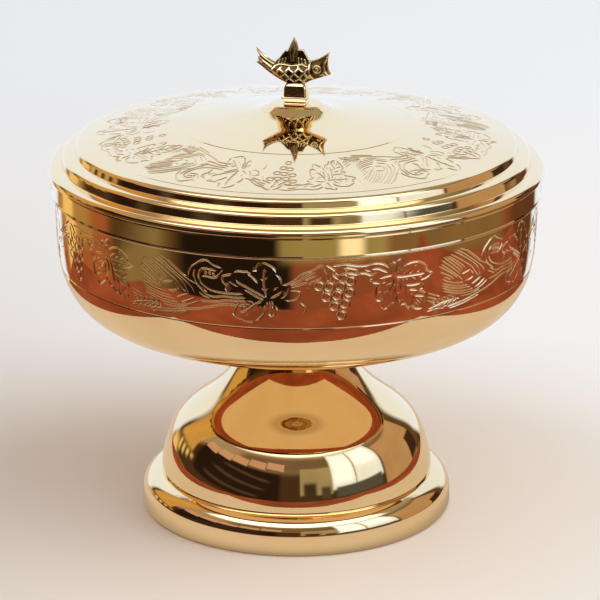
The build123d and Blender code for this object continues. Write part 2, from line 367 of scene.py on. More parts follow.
def vine_leaf_left():
    """Vine leaf with three lobes, its ribs meeting at one point, and the stem behind it."""
    outline = [
        [(-15.7, 96.4), (-15.9, 97.4), (-15.6, 98.4), (-16.4, 99.4), (-16.8, 100.6), (-16.6, 101.4),
         (-15.6, 101.9), (-14.2, 102.5)],
        [(-14.0, 102.9), (-13.0, 103.4), (-11.8, 103.3), (-10.9, 103.4), (-10.1, 102.7)],
        [(-10.9, 102.8), (-9.9, 101.8), (-9.1, 100.7), (-8.6, 99.6)],
        [(-9.8, 103.6), (-9.0, 104.0), (-8.8, 105.2), (-8.4, 106.1), (-7.9, 106.5)],
        [(-7.8, 106.5), (-6.8, 106.2), (-5.9, 105.6), (-5.1, 104.9), (-4.7, 104.2), (-4.5, 103.3)],
        [(-4.6, 102.9), (-3.9, 102.2), (-3.5, 101.2), (-3.3, 100.2), (-3.4, 99.5)],
        [(-3.9, 98.9), (-4.6, 98.3), (-5.1, 97.7)],
        [(-3.0, 97.6), (-3.9, 96.7), (-4.9, 95.8), (-5.8, 95.2)],
        [(-13.9, 94.1), (-13.2, 93.3), (-13.1, 92.7), (-13.6, 91.7), (-14.0, 90.6), (-14.3, 89.6),
         (-14.0, 88.7)],
        [(-14.1, 88.8), (-13.2, 88.3), (-12.4, 88.1), (-11.7, 87.6), (-10.8, 87.4), (-9.9, 87.3),
         (-9.3, 87.6)],
        [(-9.3, 87.7), (-8.5, 88.3), (-7.8, 89.2), (-7.3, 90.2), (-7.15, 91.5), (-7.1, 92.9)],
        [(-6.6, 94.2), (-6.6, 92.4), (-6.65, 90.5)],
        [(-6.0, 94.3), (-5.9, 91.8), (-6.0, 90.0), (-5.6, 89.0)],
        [(-5.5, 94.5), (-5.4, 93.2), (-5.2, 91.9)],
        [(-5.0, 93.1), (-4.4, 92.3), (-4.2, 91.3)],
        [(-5.6, 89.1), (-5.0, 89.9), (-4.3, 90.5)],
    ]
    ribs = [
        [(-6.7, 95.4), (-6.9, 96.8), (-7.2, 99.0), (-7.3, 101.0), (-7.2, 103.0), (-7.05, 104.9)],
        [(-6.9, 95.3), (-8.8, 96.7), (-11.0, 98.3), (-12.8, 99.5), (-13.7, 100.8)],
        [(-7.2, 94.6), (-8.6, 95.3), (-10.2, 96.6), (-11.7, 97.6)],
        [(-7.4, 94.5), (-9.2, 93.1), (-10.6, 91.5), (-11.9, 90.5), (-12.9, 90.2)],
    ]
    veins = [
        [(-7.2, 97.6), (-7.8, 98.4)],
        [(-6.95, 97.7), (-6.2, 98.4)],
        [(-7.3, 100.7), (-8.0, 101.4)],
        [(-7.1, 100.9), (-6.4, 102.0)],
        [(-7.15, 103.2), (-6.6, 104.2)],
        [(-11.1, 98.2), (-11.6, 99.4)],
        [(-12.2, 99.0), (-12.4, 100.0)],
        [(-12.9, 98.4), (-14.2, 99.1), (-15.4, 100.1)],
        [(-14.9, 98.6), (-15.9, 99.6)],
        [(-8.8, 96.5), (-9.0, 97.4)],
        [(-12.8, 91.6), (-12.1, 92.3), (-11.0, 91.9)],
        [(-10.4, 92.2), (-10.6, 92.9), (-11.9, 93.2)],
        [(-9.4, 92.8), (-9.9, 93.8), (-11.2, 94.0)],
        [(-10.8, 90.0), (-11.4, 89.2)],
        [(-9.6, 91.6), (-9.5, 90.2)],
        [(-8.2, 92.8), (-8.1, 91.4)],
    ]
    return drawn(WIDE, outline + ribs) + drawn(FINE, veins)


def cane_and_grapes():
    """Vine cane that rises to the top of the band, a bunch of grapes and the cane beyond."""
    cane = [
        [(-3.2, 99.5), (-2.2, 99.7), (-1.0, 100.5), (0.0, 101.4), (1.0, 102.6), (2.0, 103.4),
         (3.4, 104.0), (4.4, 104.9), (5.3, 105.7), (6.2, 105.8)],
        [(6.5, 105.7), (7.3, 105.2), (8.0, 104.6), (8.6, 103.9), (8.9, 103.1), (9.5, 102.4)],
        [(-1.4, 99.4), (0.2, 100.4), (1.6, 101.8), (3.0, 102.9), (4.4, 103.6)],
        [(-1.2, 98.7), (0.6, 99.5), (1.9, 100.2), (2.8, 100.4)],
        [(1.8, 101.1), (3.0, 101.7), (4.6, 102.5)],
        [(2.6, 99.4), (3.6, 100.6), (4.8, 101.2), (6.0, 102.2)],
        [(5.9, 104.8), (6.5, 103.6), (6.9, 102.4), (7.0, 101.0), (7.3, 100.4), (7.7, 100.8), (7.9, 101.8)],
        [(7.8, 103.2), (8.6, 102.0), (9.4, 101.0)],
        [(8.0, 105.4), (9.5, 105.5), (11.0, 105.7), (12.3, 105.4), (13.6, 105.0), (15.8, 104.9),
         (17.5, 105.3), (18.8, 105.2), (20.0, 104.6), (21.1, 103.5)],
        [(10.5, 104.4), (11.3, 104.7), (12.6, 104.2), (13.8, 103.8)],
        [(15.2, 103.7), (16.0, 103.2), (16.8, 102.9)],
        [(9.6, 102.6), (11.0, 102.8), (12.5, 102.7), (13.5, 102.2), (14.5, 102.6), (15.8, 102.3),
         (16.7, 101.7), (17.6, 102.1), (18.5, 102.5)],
        [(16.9, 103.5), (18.3, 103.6), (19.4, 103.0), (20.8, 102.0)],
    ]
    tendril = [
        [(-3.6, 95.2), (-2.7, 95.7), (-2.1, 96.5), (-1.9, 97.6), (-1.8, 98.7)],
        [(-1.5, 97.6), (-0.3, 97.8), (0.9, 97.4), (0.6, 95.8), (-0.5, 94.8), (-1.8, 94.5), (-2.6, 94.8)],
        [(2.2, 99.2), (2.6, 98.4), (2.6, 97.4)],
        [(0.8, 94.0), (1.7, 93.0), (2.0, 91.6), (1.6, 90.4)],
    ]
    grapes = [
        (12.2, 100.4), (9.95, 98.9), (7.4, 98.9), (5.15, 99.2), (10.6, 101.4), (6.8, 95.6),
        (9.2, 96.0), (12.0, 96.7), (8.6, 92.6), (11.0, 93.2), (10.2, 89.5),
    ]
    dots = [(8.0, 94.1), (10.65, 95.2), (10.0, 91.2), (11.4, 98.5), (8.5, 100.4), (6.0, 97.3)]
    return (
        drawn(WIDE, cane) + drawn(FINE, tendril) + drawn(WIDE, [ring(x, y, 1.3) for x, y in grapes])
        + drawn(FINE, [[(x - 0.2, y + 0.3), (x + 0.15, y - 0.35)] for x, y in dots])
    )


def vine_leaf_right():
    """Larger vine leaf with five lobes."""
    outline = [
        [(21.2, 103.7), (21.4, 104.6), (22.0, 105.2), (22.6, 104.9), (23.2, 105.6), (24.0, 106.0),
         (24.3, 105.2), (24.2, 104.3)],
        [(24.0, 101.9), (24.5, 103.1), (25.5, 103.9), (26.8, 104.3), (28.3, 104.2), (29.5, 103.4),
         (30.7, 102.4)],
        [(30.7, 102.3), (30.1, 101.6), (30.9, 100.6), (32.2, 100.0)],
        [(32.2, 99.9), (31.2, 99.1), (30.2, 98.5), (29.1, 98.1), (29.2, 97.2)],
        [(25.0, 97.4), (26.4, 97.0), (28.0, 97.0), (29.2, 97.1)],
        [(29.3, 97.0), (29.9, 96.2), (29.6, 95.4), (28.6, 95.2)],
        [(25.9, 95.6), (27.0, 95.4), (28.3, 94.9)],
        [(28.4, 94.9), (29.6, 94.3), (30.3, 93.5), (30.4, 92.5), (30.2, 91.0), (30.0, 89.9), (29.9, 88.8)],
        [(29.8, 88.7), (28.6, 88.9), (27.6, 89.3), (27.0, 90.2), (27.0, 91.6), (27.1, 93.0), (26.7, 94.4)],
        [(26.9, 90.1), (26.3, 89.3), (25.8, 90.0), (25.2, 91.1), (24.6, 91.2), (24.2, 90.8)],
        [(24.2, 90.9), (23.9, 92.0), (23.6, 92.9)],
        [(17.0, 99.6), (17.4, 99.2), (18.2, 99.0), (19.0, 98.6)],
        [(18.9, 98.5), (18.3, 98.0), (18.0, 97.1), (17.95, 96.0), (18.0, 94.6), (18.4, 93.4),
         (19.1, 93.2), (19.8, 93.7), (20.5, 94.2)],
        [(16.3, 100.1), (17.0, 100.6), (17.8, 101.1)],
        [(16.4, 100.0), (17.0, 99.7)],
        [(19.9, 90.1), (20.7, 90.6), (21.4, 91.4), (22.0, 92.1), (22.8, 92.1)],
        [(19.9, 90.2), (19.4, 91.4), (19.3, 92.6)],
        [(22.9, 92.2), (23.0, 93.4), (23.2, 94.8)],
        [(23.2, 95.0), (23.9, 95.1)],
    ]
    ribs = [
        [(22.6, 100.5), (24.0, 100.1), (27.0, 100.1), (30.1, 100.1)],
        [(22.2, 101.0), (20.5, 100.8), (18.8, 100.3)],
        [(22.2, 101.2), (22.7, 102.4), (22.9, 103.6), (23.6, 104.4)],
        [(22.2, 100.4), (22.1, 98.6), (21.5, 97.1), (20.7, 95.3)],
        [(22.9, 99.9), (23.6, 98.8), (23.9, 97.3), (23.8, 95.8)],
        [(24.3, 99.4), (24.9, 98.0), (25.2, 96.2), (25.4, 94.4), (25.6, 92.4)],
        [(27.3, 93.4), (28.6, 93.1), (30.2, 92.6)],
        [(22.3, 98.2), (22.6, 96.6), (22.3, 94.6)],
    ]
    veins = [
        [(24.4, 100.6), (25.3, 101.7), (26.4, 102.4)],
        [(26.0, 100.7), (27.4, 101.7)],
        [(27.9, 100.8), (29.1, 101.6)],
        [(27.4, 102.9), (28.2, 103.4)],
        [(25.0, 99.6), (26.0, 98.6)],
        [(26.6, 99.6), (27.9, 98.6)],
        [(28.4, 99.6), (29.4, 98.9)],
        [(19.6, 95.0), (20.2, 95.8), (21.0, 96.2)],
        [(18.5, 95.9), (19.6, 96.4)],
        [(20.2, 97.7), (21.0, 98.3), (22.0, 98.5)],
        [(19.4, 98.7), (20.7, 99.3)],
        [(27.9, 92.3), (28.6, 91.3), (29.4, 90.4)],
        [(27.6, 91.4), (28.2, 90.6), (28.8, 89.8)],
        [(28.8, 92.4), (29.4, 91.6), (29.9, 90.9)],
        [(24.4, 93.9), (24.4, 92.8), (24.9, 92.2)],
        [(21.5, 95.4), (21.9, 94.2)],
        [(23.0, 98.2), (23.4, 97.2)],
        [(26.0, 94.8), (26.2, 93.2)],
        [(20.6, 92.6), (21.1, 93.2)],
    ]
    return drawn(WIDE, outline + ribs) + drawn(FINE, veins)


def ring(x, y, radius):
    """Closed ring; its radius is in millimetres."""
    return ("o", x, y, radius)


# ------------------------------------------------- the design as a groove network
DEG_MM = math.pi / 180 * BOWL_R      # millimetres to one degree on the bowl
BAND_LOW, BAND_HIGH = 85.7, 107.3     # heights between which the design is meshed
GROOVE_SLOPE = 0.62                   # a groove's depth over its half width, on the bowl
LID_GROOVE_SLOPE = 0.36               # the same on the lid
JOG = 2 * STEP_DEG                    # how far the seam between repeats steps sideways
SEAM_LOW, SEAM_RISE = 93.6, 3.4       # height where that step begins, and how tall it is
LINE_GAP = 0.85                       # between points along a line
TAPER = 1.1                           # length over which a line's ends run out
SHEAF_SQUEEZE = 0.975                 # brings the sheaf in from the seam
RING_GROWTH = 1.25                    # rings shrink less than lines where a degree is short
CLEAR = 0.3                           # least distance of a fill point from a line
SHALLOWEST = 0.006                    # anything less deep is flat metal


def seam(y):
    """Sideways step of the seam, so that it passes between the leaf and the wheat."""
    s = min(1.0, max(0.0, (y - SEAM_LOW) / SEAM_RISE))
    return -JOG * (1 - s * s * (3 - 2 * s))


def smooth(points, gap):
    """Points along a smooth curve through the given ones, about gap apart."""
    pts = [np.array(p, float) for p in points]
    if len(pts) == 2:
        n = max(2, round(np.linalg.norm(pts[1] - pts[0]) / gap))
        return [pts[0] + (pts[1] - pts[0]) * i / n for i in range(n + 1)]
    ends = [2 * pts[0] - pts[1]] + pts + [2 * pts[-1] - pts[-2]]
    out = []
    for i in range(1, len(ends) - 2):
        a, b, c, d = ends[i - 1 : i + 3]
        n = max(1, round(np.linalg.norm(c - b) / gap))
        for k in range(n):
            t = k / n
            out.append(
                0.5 * (2 * b + (c - a) * t + (2 * a - 5 * b + 4 * c - d) * t * t
                       + (3 * b - a - 3 * c + d) * t**3)
            )
    out.append(pts[-1])
    return out


def lines_mm(deg_mm, rise):
    """Every line as (points in mm, half widths, closed); heights are above BAND_LOW."""
    groups = [
        (sheaf(), SHEAF_SHIFT, SHEAF_SQUEEZE), (curled_leaf(), SHEAF_SHIFT, SHEAF_SQUEEZE),
        (wheat_ear(), SHEAF_SHIFT, 1.0), (vine_leaf_left(), LEAF_SHIFT, 1.0),
        (cane_and_grapes(), LEAF_SHIFT, 1.0), (vine_leaf_right(), LEAF_SHIFT, 1.0),
    ]
    out = []
    for lines, shift, squeeze in groups:
        for width, line in lines:
            if line[0] == "o":
                _, x, y, radius = line
                n = 14 if radius > 1 else 7
                cx = (x + shift) * squeeze * deg_mm
                cy = (y - BAND_LOW) * rise
                radius = radius * min(1.0, deg_mm / DEG_MM * RING_GROWTH)
                pts = [
                    np.array((cx + radius * math.cos(2 * math.pi * k / n),
                              cy + radius * math.sin(2 * math.pi * k / n)))
                    for k in range(n)
                ]
                out.append((pts, [width / 2] * n, True))
                continue
            spots = [((x + shift) * squeeze * deg_mm, (y - BAND_LOW) * rise) for x, y in line]
            pts = smooth(spots, LINE_GAP)
            run = [0.0]
            for p, q in zip(pts, pts[1:]):
                run.append(run[-1] + float(np.linalg.norm(q - p)))
            half = [
                width / 2 * math.sqrt(max(0.0, min(1.0, s / TAPER, (run[-1] - s) / TAPER)))
                for s in run
            ]
            half[-1] = 0.0
            out.append((pts, half, False))
    return out


def network(deg_mm, rise, slope):
    """The repeat as a triangle mesh: (degrees, height) of its points, depths, triangles."""
    verts, edges = [], []
    top = (BAND_HIGH - BAND_LOW) * rise

    def jog(y):
        return seam(y / rise + BAND_LOW) * deg_mm

    def add(p):
        verts.append(Vector((p[0] - jog(p[1]), p[1])))
        return len(verts) - 1

    def chain(ids, closed=False):
        edges.extend((a, b) for a, b in zip(ids, ids[1:]) if a != b)
        if closed:
            edges.append((ids[-1], ids[0]))

    segments = []
    for pts, half, closed in lines_mm(deg_mm, rise):
        n = len(pts)
        left, mid, right = [], [], []
        for i, (p, h) in enumerate(zip(pts, half)):
            before = pts[i - 1] if closed or i > 0 else p
            after = pts[(i + 1) % n] if closed or i < n - 1 else p
            d = after - before
            d = d / np.linalg.norm(d)
            side = np.array((-d[1], d[0]))
            m = add(p)
            mid.append(m)
            if h < 1e-6:
                left.append(m)
                right.append(m)
            else:
                left.append(add(p + side * h))
                right.append(add(p - side * h))
        for ids in (left, mid, right):
            chain(ids, closed)
        last = n if closed else n - 1
        for i in range(last):
            j = (i + 1) % n
            segments.append((*pts[i], *pts[j], half[i], half[j]))
    seg = np.array(segments)

    def gaps(p):
        """Distance of each point from each stretch of line, and the half width there."""
        a, b = seg[:, 0:2], seg[:, 2:4]
        ab = b - a
        t = ((p[:, None, :] - a) * ab).sum(2) / (ab * ab).sum(1)
        t = np.clip(t, 0, 1)
        gap = np.linalg.norm(p[:, None, :] - (a + ab * t[:, :, None]), axis=2)
        return gap, seg[:, 4] + (seg[:, 5] - seg[:, 4]) * t

    count = round(TILE_DEG / STEP_DEG)
    rows = 12
    width = TILE_DEG * deg_mm
    step = STEP_DEG * deg_mm
    border = [(k * step, 0.0) for k in range(count + 1)]
    border += [(width, top * j / rows) for j in range(1, rows)]
    border += [(k * step, top) for k in range(count, -1, -1)]
    border += [(0.0, top * j / rows) for j in range(rows - 1, 0, -1)]
    first = len(verts)
    verts.extend(Vector(p) for p in border)
    chain(list(range(first, first + len(border))), closed=True)
    fill = [
        ((k + 0.5 * (j % 2)) * step, top * j / rows)
        for j in range(1, rows) for k in range(1, count)
    ]
    spots = np.array([(x + jog(y), y) for x, y in fill])
    gap, half = gaps(spots)
    clear = (gap - half).min(1) > CLEAR
    verts.extend(Vector(p) for p, free in zip(fill, clear) if free)
    got = delaunay_2d_cdt(verts, edges, [], 0, 1e-5)
    flat = np.array([(v.x + jog(v.y), v.y) for v in got[0]])
    gap, half = gaps(flat)
    depth = np.maximum(0, half - gap).max(1) * slope
    depth[depth < SHALLOWEST] = 0
    flat = np.stack([flat[:, 0] / deg_mm, flat[:, 1] / rise + BAND_LOW], 1)
    return flat, depth, got[2]


def engrave(skin, net, start, place):
    """Lays the repeat round the axis. place(degrees, height) gives points and their normals."""
    flat, depth, triangles = net
    for tile in range(TILES):
        turn = start + tile * TILE_DEG
        spots, normals = place(turn + flat[:, 0], flat[:, 1])
        spots = spots - normals * depth[:, None]
        skin.cut.update(skin.point(tuple(p)) for p in spots[depth > 0].tolist())
        for tri in triangles:
            ids = list(tri)
            corners = spots[ids]
            if depth[ids].max() > 0:
                flat_n = np.cross(corners[1] - corners[0], corners[2] - corners[0])
                size = np.linalg.norm(flat_n)
                if size < 1e-7:
                    continue
                flat_n = flat_n / size
                if np.dot(flat_n, normals[ids[0]]) < 0:
                    flat_n = -flat_n
                skin.face(corners.tolist(), [flat_n.tolist()] * 3)
            else:
                skin.face(corners.tolist(), normals[ids].tolist())


# ---------------------------------------------------------------------- surfaces
class Nodes:
    """Short way to write a node tree."""

    def __init__(self, tree):
        self.tree = tree
        tree.nodes.clear()

    def add(self, kind, inputs=None, **settings):
        node = self.tree.nodes.new(kind)
        for key, value in settings.items():
            setattr(node, key, value)
        for key, value in (inputs or {}).items():
            self.put(node.inputs[key], value)
        return node

    def put(self, socket, value):
        if isinstance(value, bpy.types.NodeSocket):
            self.tree.links.new(value, socket)
        else:
            socket.default_value = value

    def math(self, operation, a, b=0.0, clamp=False):
        node = self.add("ShaderNodeMath", {0: a, 1: b}, operation=operation, use_clamp=clamp)
        return node.outputs[0]

    def ramp(self, value, low, high, out_low=0.0, out_high=1.0):
        node = self.add(
            "ShaderNodeMapRange",
            {"Value": value, "From Min": low, "From Max": high, "To Min": out_low, "To Max": out_high},
            interpolation_type="SMOOTHSTEP",
        )
        return node.outputs["Result"]

    def mix(self, factor, a, b):
        """Colour between a and b. The node's colour sockets are 6 and 7, and output 2."""
        return self.add("ShaderNodeMix", {0: factor, 6: a, 7: b}, data_type="RGBA").outputs[2]

    def noise(self, vector, scale, detail=3.0, rough=0.5):
        node = self.add(
            "ShaderNodeTexNoise",
            {"Vector": vector, "Scale": scale, "Detail": detail, "Roughness": rough},
        )
        return node.outputs["Fac"]

    def split(self, vector):
        return self.add("ShaderNodeSeparateXYZ", {"Vector": vector}).outputs

    def length(self, vector):
        return self.add("ShaderNodeVectorMath", {0: vector}, operation="LENGTH").outputs["Value"]

    def mark(self, name):
        """A number that the mesh carries at each of its points."""
        return self.add("ShaderNodeAttribute", attribute_name=name).outputs["Fac"]

    def bump(self, height, strength, distance, normal=None):
        inputs = {"Height": height, "Strength": strength, "Distance": distance}
        if normal is not None:
            inputs["Normal"] = normal
        return self.add("ShaderNodeBump", inputs).outputs["Normal"]


def rgb(r, g, b):
    return (r, g, b, 1.0)


def new_material(name):
    """A material, its empty node tree, and the place on the object in metres."""
    material = bpy.data.materials.new(name)
    material.use_nodes = True
    t = Nodes(material.node_tree)
    return material, t, t.add("ShaderNodeTexCoord").outputs["Object"]


ENGRAVED = (0.80, 0.58, 0.33)        # colour of the matt engraved lines


def metal(name, tint, dull_tint, rough, grain_scale, wear, turned=False, tarnish_and_shade=None):
    """Metal with uneven polish, hairlines, a faint orange peel and dull specks.

    Where turned is set it has the fine rings of a lathe and matt engraved lines. The last
    argument is the dark colour laid where the mesh marks hollows: partly dark tarnish in the
    hollows of a casting, partly painted shade there and on its spike.
    """
    material, t, place = new_material(name)
    shader = t.add("ShaderNodeBsdfPrincipled", {"Metallic": 1.0, "IOR": 1.45})
    patches = t.noise(place, 34.0, 4.0, 0.55)
    fine = t.noise(place, grain_scale, 3.0, 0.6)
    specks = t.ramp(t.noise(place, grain_scale * 1.7, 1.0, 0.4), 0.74, 0.8)
    hair_map = t.add(
        "ShaderNodeMapping", {"Vector": place, "Scale": (3500.0, 160.0, 420.0), "Rotation": (0.3, 0.2, 0.7)}
    ).outputs["Vector"]
    hair = t.ramp(t.noise(hair_map, 1.0, 2.0, 0.5), 0.66, 0.78)
    wear_mask = t.math("MULTIPLY", t.ramp(patches, 0.45, 0.8), wear)
    dull = t.math("ADD", wear_mask, t.math("MULTIPLY", specks, 0.35), clamp=True)
    colour = t.mix(dull, rgb(*tint), rgb(*dull_tint))
    if tarnish_and_shade:
        # hollows mark: partly dark tarnish, partly painted shade in the casting's hollows and on its spike
        hollow = t.mark("hollow")
        colour = t.mix(hollow, colour, rgb(*tarnish_and_shade))
    if turned:
        groove = t.ramp(t.mark("groove"), 0.02, 0.35)
        colour = t.mix(t.math("MULTIPLY", groove, 0.8), colour, rgb(*ENGRAVED))
    t.put(shader.inputs["Base Color"], colour)
    roughness = t.ramp(patches, 0.3, 0.75, rough * 0.7, rough * 1.5)
    roughness = t.math("ADD", roughness, t.math("MULTIPLY", hair, 0.05))
    roughness = t.math("ADD", roughness, t.math("MULTIPLY", specks, 0.12))
    if tarnish_and_shade:
        roughness = t.math("ADD", roughness, t.math("MULTIPLY", hollow, 0.22))
    if turned:
        roughness = t.math("ADD", roughness, t.math("MULTIPLY", groove, 0.26))
    t.put(shader.inputs["Roughness"], roughness)
    normal = t.bump(t.noise(place, 55.0, 2.0, 0.5), 0.05, 0.0006)
    normal = t.bump(fine, 0.03, 0.00005, normal)
    normal = t.bump(hair, 0.03, 0.00002, normal)
    if turned:
        x, y, z = t.split(place)
        x_squared = t.math("POWER", x, 2.0)
        y_squared = t.math("POWER", y, 2.0)
        radius = t.math("SQRT", t.math("ADD", x_squared, y_squared))
        run = t.math("ADD", radius, t.math("MULTIPLY", z, 0.8))
        rings = t.add(
            "ShaderNodeTexNoise", {"W": t.math("MULTIPLY", run, 2600.0), "Scale": 1.0, "Detail": 2.0},
            noise_dimensions="1D",
        ).outputs["Fac"]
        normal = t.bump(rings, 0.04, 0.00002, normal)
    t.put(shader.inputs["Normal"], normal)
    t.add("ShaderNodeOutputMaterial", {"Surface": shader.outputs[0]})
    return material


GILT = (0.97, 0.755, 0.45)
GILT_DULL = (0.86, 0.61, 0.31)
FINISH = {
    "gilt_spun": metal("gilt_spun", GILT, GILT_DULL, 0.035, 900.0, 0.25, turned=True),
    "gilt_cast": metal(
        "gilt_cast", (0.98, 0.80, 0.50), (0.70, 0.50, 0.24), 0.10, 1400.0, 0.4,
        # dark colour of the casting's hollows and spike: partly tarnish, partly painted shade
        tarnish_and_shade=(0.10, 0.065, 0.022),
    ),
    "raw_brass": metal(
        "raw_brass", (0.80, 0.62, 0.30), (0.48, 0.34, 0.15), 0.22, 1100.0, 0.7, turned=True
    ),
    "steel_hardware": metal(
        "steel_hardware", (0.62, 0.62, 0.61), (0.34, 0.33, 0.31), 0.24, 1200.0, 0.6
    ),
}
CAST = ("finial_foot", "finial_plate", "fish_finial")
HARDWARE = (
    "tie_stud", "clamp_washer", "foot_lock_washer", "foot_nut",
    "lid_stud", "lid_washer", "lid_lock_washer", "lid_nut",
)
# Every other CAD piece is of gilt_spun.
SLOTS = {
    "bowl_boss": "raw_brass",
    **dict.fromkeys(CAST, "gilt_cast"),
    **dict.fromkeys(HARDWARE, "steel_hardware"),
}
for node_name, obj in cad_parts.items():
    finish = FINISH[SLOTS.get(node_name, "gilt_spun")]
    for material_slot in obj.material_slots:
        material_slot.material = finish


# ------------------------------------------------------------------ turned pieces
CAP_EDGE_Z = 134.2     # the cap's edge sits in a shallow recess of the lid
OUTER_RISE = [(22.0, 131.79), (28.0, 130.9), (38.0, 129.25), (52.0, 127.0), (DISC_R, DISC_Z)]
RISE_POINTS = [
    (SEAT_R, CAP_EDGE_Z), (12.0, 133.8), (13.0, 133.47), (15.0, 132.96), (18.0, 132.37), *OUTER_RISE,
]
INSIDE_POINTS = [(SEAT_R, HILL_TOP), (13.2, 133.4), (15.5, 132.87), (18.0, 132.37), *OUTER_RISE]
RISE = flowing(RISE_POINTS, (1, -0.45), (1, -DISC_SLOPE), 1, 200)
RISE_R = np.array([sample[0] for sample in RISE])
RISE_REST = np.array([sample[1:4] for sample in RISE])


def rise_sample(radius):
    """Point and outward slant of the lid's hollow-sided rise at a radius."""
    height, out, up = (float(np.interp(radius, RISE_R, RISE_REST[:, k])) for k in range(3))
    return (radius, height, out, up)


def grooved(place, low, high, depth):
    """A V groove in a profile: place(u) gives a sample, and low and high are its limits in u."""
    mid = (low + high) / 2
    a, b, c = place(low), place(mid), place(high)
    floor = (b[0] - b[2] * depth, b[1] - b[3] * depth)
    out = []
    for p, q in ((a, floor), (floor, c)):
        dx, dy = unit(q[0] - p[0], q[1] - p[1])
        n = (-dy, dx)
        if n[0] * b[2] + n[1] * b[3] < 0:
            n = (dy, -dx)
        out.append([(p[0], p[1], *n), (q[0], q[1], *n)])
    return out


def base_ring():
    skin = Skin()
    face = filleted(
        [(42.5, STEP_Z), (50.7, STEP_Z), (FOOT_R, 0), (46.5, 0)], [6.6, 1.3], 1, steps=14
    )
    skin.turn(sheet_metal(face, RING_SHEET, 1))
    return skin.piece("foot_ring_turned", "vessel", "gilt_spun", ["foot_base_ring"])


def bell():
    skin = Skin()
    top = filleted([(3.3, NECK_TOP), (NECK_R, NECK_TOP), (17.2, 56.0)], [1.3], 1)
    flare = flowing(
        [(17.2, 56.0), (20.8, 47.4), (28.0, 39.5), (34.2, 34.8), (39.2, 30.0), (42.6, 23.2),
         (BELL_R, STEP_Z + SEAM)],
        (0.6, -2.6), (0.04, -1), 1, 90,
    )
    skin.turn(sheet_metal([*top, flare], FOOT_SHEET, 1))
    return skin.piece("foot_bell_turned", "vessel", "gilt_spun", ["foot_bell"])


def collar():
    skin = Skin()
    inner, outer = 12.2, 17.3
    low, high = NECK_TOP + SEAM, BOWL_BOTTOM - SEAM
    mid = (low + high) / 2
    bulge = 0.75
    half = (high - low) / 2
    radius = (half**2 + bulge**2) / (2 * bulge)
    angle = math.degrees(math.asin(half / radius))
    round_edge = bend((outer + bulge - radius, mid), radius, -angle, angle, True, 10)
    skin.turn([
        straight((inner, low), (outer, low), -1), round_edge,
        straight((outer, high), (inner, high), -1), straight((inner, high), (inner, low), -1),
    ])
    return skin.piece("neck_collar_turned", "vessel", "gilt_spun", ["neck_collar"])


KNEE_TOP, KNEE_WAY = (77.2, 87.5), (0.1, 1)     # where the bowl's round side becomes its wall


def wall_profile():
    """Outer face of the bowl above its seat, finely sampled."""
    curve = flowing(
        [(BOWL_SEAT_R, BOWL_BOTTOM), (30.3, 61.1), (46.0, 63.0), (59.2, 65.9), (67.5, 69.7), (72.3, 74.4),
         (75.4, 80.1), KNEE_TOP],
        (1, 0), KNEE_WAY, -1, 300,
    )
    wall = flowing([KNEE_TOP, (77.8, 96.0), (BOWL_R, BOWL_TOP)], KNEE_WAY, (0, 1), -1, 120)
    return curve[:-1] + wall


WALL = wall_profile()
WALL_Z = [sample[1] for sample in WALL]


def wall_sample(z):
    """Sample of the bowl's outer face at a height."""
    i = int(np.searchsorted(WALL_Z, z)) - 1
    if i < 0 or i + 1 >= len(WALL):
        return WALL[-1]
    a, b = WALL[i], WALL[i + 1]
    t = (z - a[1]) / (b[1] - a[1])
    r, _, m, h = (p + (q - p) * t for p, q in zip(a, b))
    m, h = unit(m, h)
    return (r, z, m, h)


def round_axis(degrees, r, z, m, h):
    """Points and normals for samples of a profile; degrees run from the front to the right."""
    a = np.radians(degrees - 90)
    c, s = np.cos(a), np.sin(a)
    return np.stack([r * c, r * s, z], 1), np.stack([m * c, m * s, h], 1)


def on_wall(degrees, z):
    return round_axis(degrees, *np.array([wall_sample(float(v)) for v in z]).T)


def heights(low, high, steps):
    return [wall_sample(low + (high - low) * i / steps) for i in range(steps + 1)]


BOWL_START, LID_START = 33.05, 19.75      # degrees where the first repeat begins
RING_LINE = 85.2                          # height of the engraved ring under the design
RING_WIDE, RING_DEEP = 0.5, 0.12


def bowl():
    skin = Skin()
    below = RING_LINE - RING_WIDE / 2
    above = RING_LINE + RING_WIDE / 2
    knee = [s for s in WALL if s[1] < below][::3] + [wall_sample(below)]
    outside = [
        straight((0, BOWL_BOTTOM), (BOWL_SEAT_R, BOWL_BOTTOM), -1), knee,
        *grooved(wall_sample, below, above, RING_DEEP),
        heights(above, BAND_LOW, 1), heights(BAND_HIGH, BOWL_TOP, 6),
    ]
    whole = [straight((0, BOWL_BOTTOM), (BOWL_SEAT_R, BOWL_BOTTOM), -1), WALL[::4] + [WALL[-1]]]
    inside = behind(whole, SHEET)
    cut = straight(WALL[-1][:2], inside[0][0][:2], -1)
    skin.turn([*outside, cut, *inside], BOWL_START - 90)
    engrave(skin, network(DEG_MM, 1.0, GROOVE_SLOPE), BOWL_START, on_wall)
    return skin.piece("bowl_turned", "vessel", "gilt_spun", ["bowl_shell"])


def rim():
    skin = Skin()
    low = BOWL_TOP + SEAM
    high = low + RIM_HIGH
    inner = BOWL_R - RIM_WIDE
    over = filleted([(BOWL_R, low), (BOWL_R, high), (inner, high), (inner, low)], [0.5, 0.5], -1)
    skin.turn([*over, straight((inner, low), (BOWL_R, low), -1)])
    return skin.piece("bowl_rim_turned", "vessel", "gilt_spun", ["bowl_rim_ring"])


LID_NEAR, LID_RISE = 41.0, 1.225      # radius where the design starts, and its growth
LID_MID_R = 53.0                      # radius where the design keeps its proportions
LID_DEG_MM = math.pi / 180 * LID_MID_R
DESIGN_FOOT = 87.0                    # height in the drawing that lies at LID_NEAR


def design_radius(y):
    return LID_NEAR + (y - DESIGN_FOOT) * LID_RISE


def on_lid(degrees, y):
    return round_axis(degrees, *np.array([rise_sample(float(v)) for v in design_radius(y)]).T)


